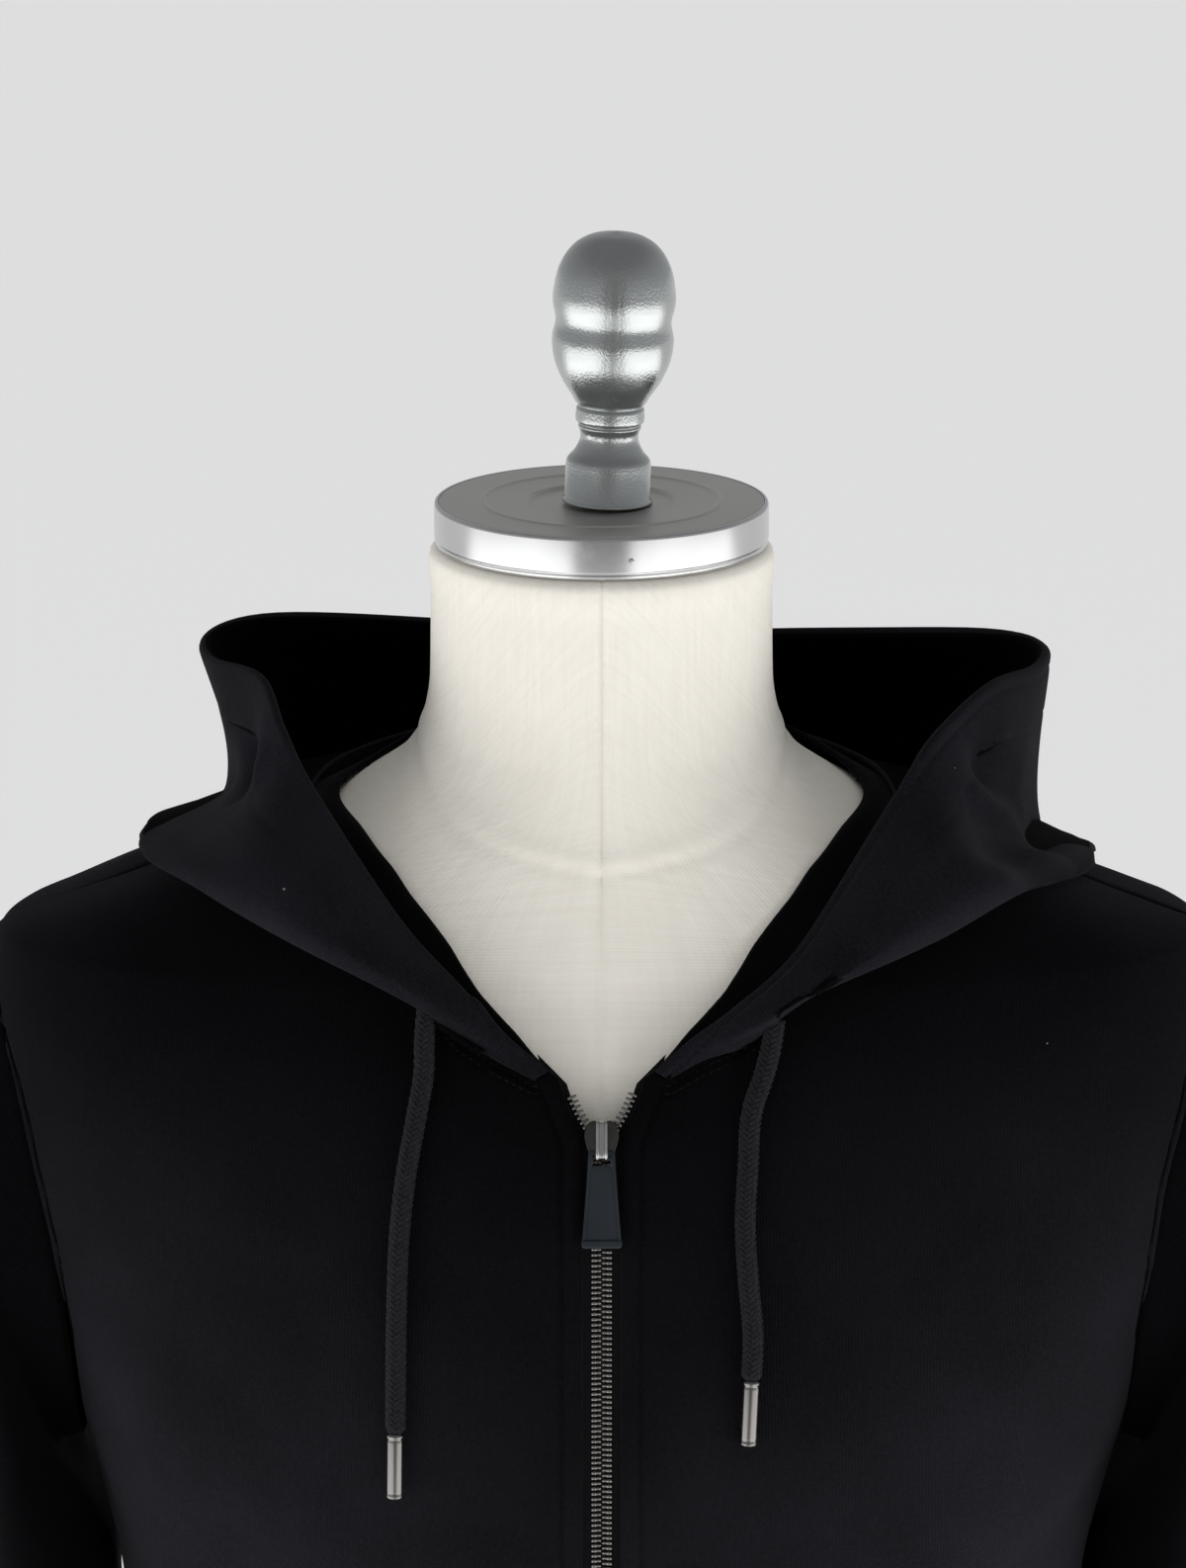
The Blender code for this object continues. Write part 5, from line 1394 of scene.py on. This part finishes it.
plate = rounded([(0.0, BASE_THICK), (BASE_RADIUS - 0.004, BASE_THICK), (BASE_RADIUS, BASE_THICK - 0.004),
                 (BASE_RADIUS, 0.0008), (BASE_RADIUS - 0.0008, 0.0)], 0.003, 5) + [(0.0, 0.0)]
base = spun("base_plate", plate, 128, painted)
pole_top = FORM_FOOT_Z - SEAM_GAP
flange_radius, pole_foot = POLE_RADIUS + 0.012, BASE_THICK + 0.0003
pole_rows = rounded([(0.0, pole_top), (flange_radius, pole_top), (flange_radius, pole_top - 0.004),
                     (POLE_RADIUS, pole_top - 0.006), (POLE_RADIUS, 0.030), (POLE_RADIUS + 0.010, 0.020),
                     (POLE_RADIUS + 0.013, pole_foot)], 0.0015) + [(0.0, pole_foot)]
pole = spun("pole_tube", pole_rows, 64, painted)
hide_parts("stand_base")
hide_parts("stand_pole")


# ---- zip ----
TOOTH_PITCH = 0.00195
CLOSED_TOP_Z = 0.834                 # the chain is closed below the slider
OPEN_FOOT_Z, OPEN_TOP_Z = 0.8345, 0.8570
TAPE_THICK = 0.0006
PULL_RIM, WINDOW_SIDE = 0.0011, 0.00175      # widths of the pull's raised rim, and beside its window


def tape_grid(us, vs):
    """The tape on the +X side, behind the front and in from its edge."""
    pair, outs = front_grid(np.array([0.0, 0.1]), vs)
    edge, across, out = pair[:, 0], pair[:, 1] - pair[:, 0], outs[:, 0]
    inner = column(ZIP, "z", "teeth", edge[:, 2]) - TEETH_RADIUS * 0.50
    reach = inner[:, None] + TAPE_WIDTH * us[None, :] - edge[:, 0, None]
    return (edge[:, None] + across[:, None] * (reach / across[:, 0, None])[..., None]
            - out[:, None] * (CLOTH + TAPE_THICK + 0.0001))


def tooth_shape():
    """One tooth: it clamps the tape behind and its head reaches past the middle of the zip."""
    bm = bmesh.new()
    for size, centre, ease in (((0.00122, 0.00200, 0.0029), (0, -0.0009, 0), 0.00026),
                               ((0.00096, 0.00180, 0.0024), (0, 0.00075, 0), 0.00020)):
        made = bmesh.ops.create_cube(bm, size=1)
        bmesh.ops.scale(bm, vec=size, verts=made["verts"])
        bmesh.ops.translate(bm, vec=centre, verts=made["verts"])
        edges = list({e for v in made["verts"] for e in v.link_edges})
        bmesh.ops.bevel(bm, geom=edges, offset=ease, segments=1, affect="EDGES", profile=0.5, material=-1)
    for vert in bm.verts:
        if vert.co.y > 0.0014:
            vert.co.z *= 0.88
            vert.co.x *= 0.92
    bmesh.ops.recalc_face_normals(bm, faces=bm.faces[:])
    return mesh_of(bm, "tooth", soft=False)


def teeth_places(side):
    """Where each tooth of one side sits, turned to follow the tape; the sides' teeth alternate."""
    heights = np.concatenate([np.linspace(ZIP_FOOT_Z, CLOSED_TOP_Z, 60),
                              np.linspace(OPEN_FOOT_Z, OPEN_TOP_Z, 40)])
    away = column(ZIP, "z", "teeth", heights)
    route = front_point(side * away, heights, np.full(len(heights), TEETH_DEPTH))
    outs = mirrored(ring_out(BODY, angle_at_x(away, heights), heights), side)
    ahead = unit(np.gradient(route, axis=0))
    inward = unit(np.cross(outs, ahead)) * side
    index = spaced(route, TOOTH_PITCH, 0.0 if side < 0 else TOOTH_PITCH / 2)
    places = []
    for p, a, t, n in zip(at_index(route, index), at_index(ahead, index), at_index(inward, index),
                          at_index(outs, index)):
        if np.dot(t, (-side, 0, 0)) < 0:
            t = -t
        places.append(place_of(p, np.cross(t, n), t, n))
    return places


for side, name in ((-1, "left"), (1, "right")):
    teeth = repeated(f"teeth_{name}", tooth_shape(), teeth_places(side), gunmetal)
    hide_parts(f"zip_teeth_{name}")
    points = mirrored(tape_grid(steps((1.0, 10)), steps((0.95, 90), (1.0, 16))), side)
    piece = cloth(f"tape_cloth_{name}", points, cut_of(points), tape_cloth, flip=side < 0,
                  thickness=TAPE_THICK)
    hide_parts(f"zip_tape_{name}")
    round(float(lengths(points, 0)[-1].max()), 3)
    round(flat_area(points), 5)

slope = front_point(np.array([0.0, 0.0]), np.array([SLIDER_Z + 0.005, SLIDER_Z - 0.005]))
slope = slope[0] - slope[1]
slider_place = (Matrix.Translation(front_point(np.array([0.0]), np.array([SLIDER_Z]))[0])
                @ Matrix.Rotation(-math.atan2(slope[1], slope[2]), 4, "X"))


def slab(bm, outline, near, far, ease=0.00025, segments=2):
    """A plate cut to an outline of (x, z), from one depth to another, with eased edges."""
    verts = [bm.verts.new((x, near, z)) for x, z in outline]
    face = bm.faces.new(verts)
    pushed = bmesh.ops.extrude_face_region(bm, geom=[face])
    moved = [g for g in pushed["geom"] if isinstance(g, bmesh.types.BMVert)]
    bmesh.ops.translate(bm, vec=(0, far - near, 0), verts=moved)
    edges = list({e for v in verts + moved for e in v.link_edges})
    sharp = [e for e in edges if abs(e.verts[0].co.y - e.verts[1].co.y) < 1e-7]
    bmesh.ops.bevel(bm, geom=sharp, offset=ease, segments=segments, affect="EDGES", profile=0.5, material=-1)
    bmesh.ops.recalc_face_normals(bm, faces=bm.faces[:])


def both_sides(half):
    """A whole outline from its right half, given from top to foot."""
    return [(x, z) for x, z in half] + [(-x, z) for x, z in reversed(half)]


def curve(points, count):
    """A smooth line through a few points, as many points as asked."""
    keys = np.arange(len(points), dtype=float)
    return [tuple(row) for row in smooth(keys, points, np.linspace(0, keys[-1], count))]


def settle(bm, place):
    bmesh.ops.transform(bm, matrix=place, verts=bm.verts[:])


bm = bmesh.new()
shoulder = curve([(0.0012, 0.0058), (0.0030, 0.0062), (0.0048, 0.0052), (0.0059, 0.0030), (0.0061, 0.0006),
                  (0.0056, -0.0020), (0.0047, -0.0046), (0.0043, -0.0066), (0.0036, -0.0077),
                  (0.0014, -0.0078)], 40)
slab(bm, both_sides(shoulder), SLIDER_FACE, SLIDER_FACE + 0.0012, 0.0004)
chain_back = TEETH_DEPTH + TEETH_RADIUS + SLIDER_ROOM
slab(bm, both_sides(shoulder), chain_back, chain_back + 0.0012, 0.0004)
for way in (-1, 1):
    flange = [(x * way, z) for x, z in shoulder if -0.0074 < z < 0.0036 and x > 0.0036]
    inner = [(x - way * 0.0008, z) for x, z in flange]
    slab(bm, flange + inner[::-1], SLIDER_FACE - 0.0001, SLIDER_FACE + 0.0024, 0.0002)
slab(bm, both_sides([(0.0013, 0.0059), (0.0013, 0.0045), (0.0002, 0.0022)]), SLIDER_FACE + 0.0006,
     chain_back + 0.0006, 0.0002)
settle(bm, slider_place)
slider = show(bm, "slider_body", gunmetal_painted_shade)
bm = bmesh.new()
arch_y = SLIDER_FACE - 2 * PULL_BAR_ROOM - BRIDGE_THICK / 2
bridge_line = np.array(curve([
    (SLIDER_FACE + 0.0004, 0.0060), (SLIDER_FACE - 0.0012, 0.0062), (arch_y + 0.0004, 0.0056),
    (arch_y - 0.0001, 0.0040), (arch_y - 0.0002, -0.0010), (arch_y - 0.0001, -0.0054),
    (arch_y + 0.0005, -0.0071), (SLIDER_FACE - 0.0010, -0.0076), (SLIDER_FACE + 0.0004, -0.0074)], 60))
# two rails, and the thinner web between them
for x, width, depth in ((-0.00155, 0.0013, 0.0014), (0.00155, 0.0013, 0.0014), (0.0, 0.0022, 0.0005)):
    line = np.stack([np.full(len(bridge_line), x), bridge_line[:, 0] + (0.0002 if x == 0 else 0),
                     bridge_line[:, 1]], axis=1)
    ahead = unit(np.gradient(line, axis=0))
    add_tube(bm, sweep(line, np.cross(ahead, (1.0, 0, 0)), width, depth, 14))
settle(bm, slider_place)
bridge = show(bm, "slider_bridge", gunmetal_painted_highlight)
for piece in (slider, bridge):
    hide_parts("zip_slider")

bm = bmesh.new()
top, foot = PULL_BAR / 2, PULL_BAR / 2 - PULL_LENGTH
window_foot = -PULL_BAR / 2 - PULL_WINDOW_HEIGHT


def pull_half(z):
    """Half the pull's width at a height: straight sides that flare near the foot."""
    share = (top - z) / PULL_LENGTH
    return (PULL_TOP_WIDTH + (PULL_FOOT_WIDTH - PULL_TOP_WIDTH) * share ** 1.25) / 2


heights = np.linspace(window_foot + 0.0003, foot + 0.0022, 16)
slab(bm, both_sides([(pull_half(z) - 0.0005, z) for z in heights]), -0.0005, 0.0005, 0.0001)
for way in (-1, 1):
    rows = np.linspace(top - 0.0004, foot + 0.0012, 24)
    outer = [(way * pull_half(z), z) for z in rows]
    inner = [(way * (pull_half(z) - (PULL_RIM if z < window_foot else WINDOW_SIDE)), z) for z in rows]
    slab(bm, outer + inner[::-1], -PULL_THICK / 2, PULL_THICK / 2, 0.00035, 3)
bar_half = PULL_TOP_WIDTH / 2 - 0.0003
slab(bm, [(bar_half, top), (bar_half, -top), (-bar_half, -top), (-bar_half, top)],
     -PULL_THICK / 2, PULL_THICK / 2, 0.00035, 3)
lip = PULL_FOOT_WIDTH * 0.51
slab(bm, [(lip, foot + 0.0022), (lip - 0.0002, foot + 0.0004), (lip - 0.0010, foot - 0.0003),
          (-lip + 0.0010, foot - 0.0003), (-lip + 0.0002, foot + 0.0004), (-lip, foot + 0.0022),
          (-lip + 0.0008, foot + 0.0027), (lip - 0.0008, foot + 0.0027)],
     -PULL_LIP_THICK / 2, PULL_LIP_THICK / 2, 0.0007, 4)
settle(bm, slider_place @ Matrix.Translation((0, BAR_Y, -PULL_BAR_DROP)))
pull = show(bm, "pull_tab", rubber, body="zip_pull")
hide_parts("zip_pull")

half_x, half_y, half_z = (size / 2 for size in BOX_SIZE)
box_z = ZIP_FOOT_Z - SEAM_GAP - half_z
box_place = front_point(np.array([0.0]), np.array([box_z]), np.array([TEETH_DEPTH]))[0]
bm = bmesh.new()
box_outline = rounded([(0.0, half_z), (half_x, half_z), (half_x * 0.92, -half_z), (0.0, -half_z)], 0.0011)
slab(bm, both_sides(box_outline[1:-1]), -half_y, half_y, 0.0005, 3)
slab(bm, both_sides([(half_x * 0.6, half_z * 0.55), (half_x * 0.55, -half_z * 0.6)]),
     -half_y - 0.0004, 0, 0.0003)
settle(bm, Matrix.Translation(box_place))
box = show(bm, "zip_retainer_box", gunmetal)
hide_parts("zip_box")

seams = stitched("topstitching", stitch_rows, STITCH_PITCH, STITCH_LENGTH, STITCH_RADIUS, thread)
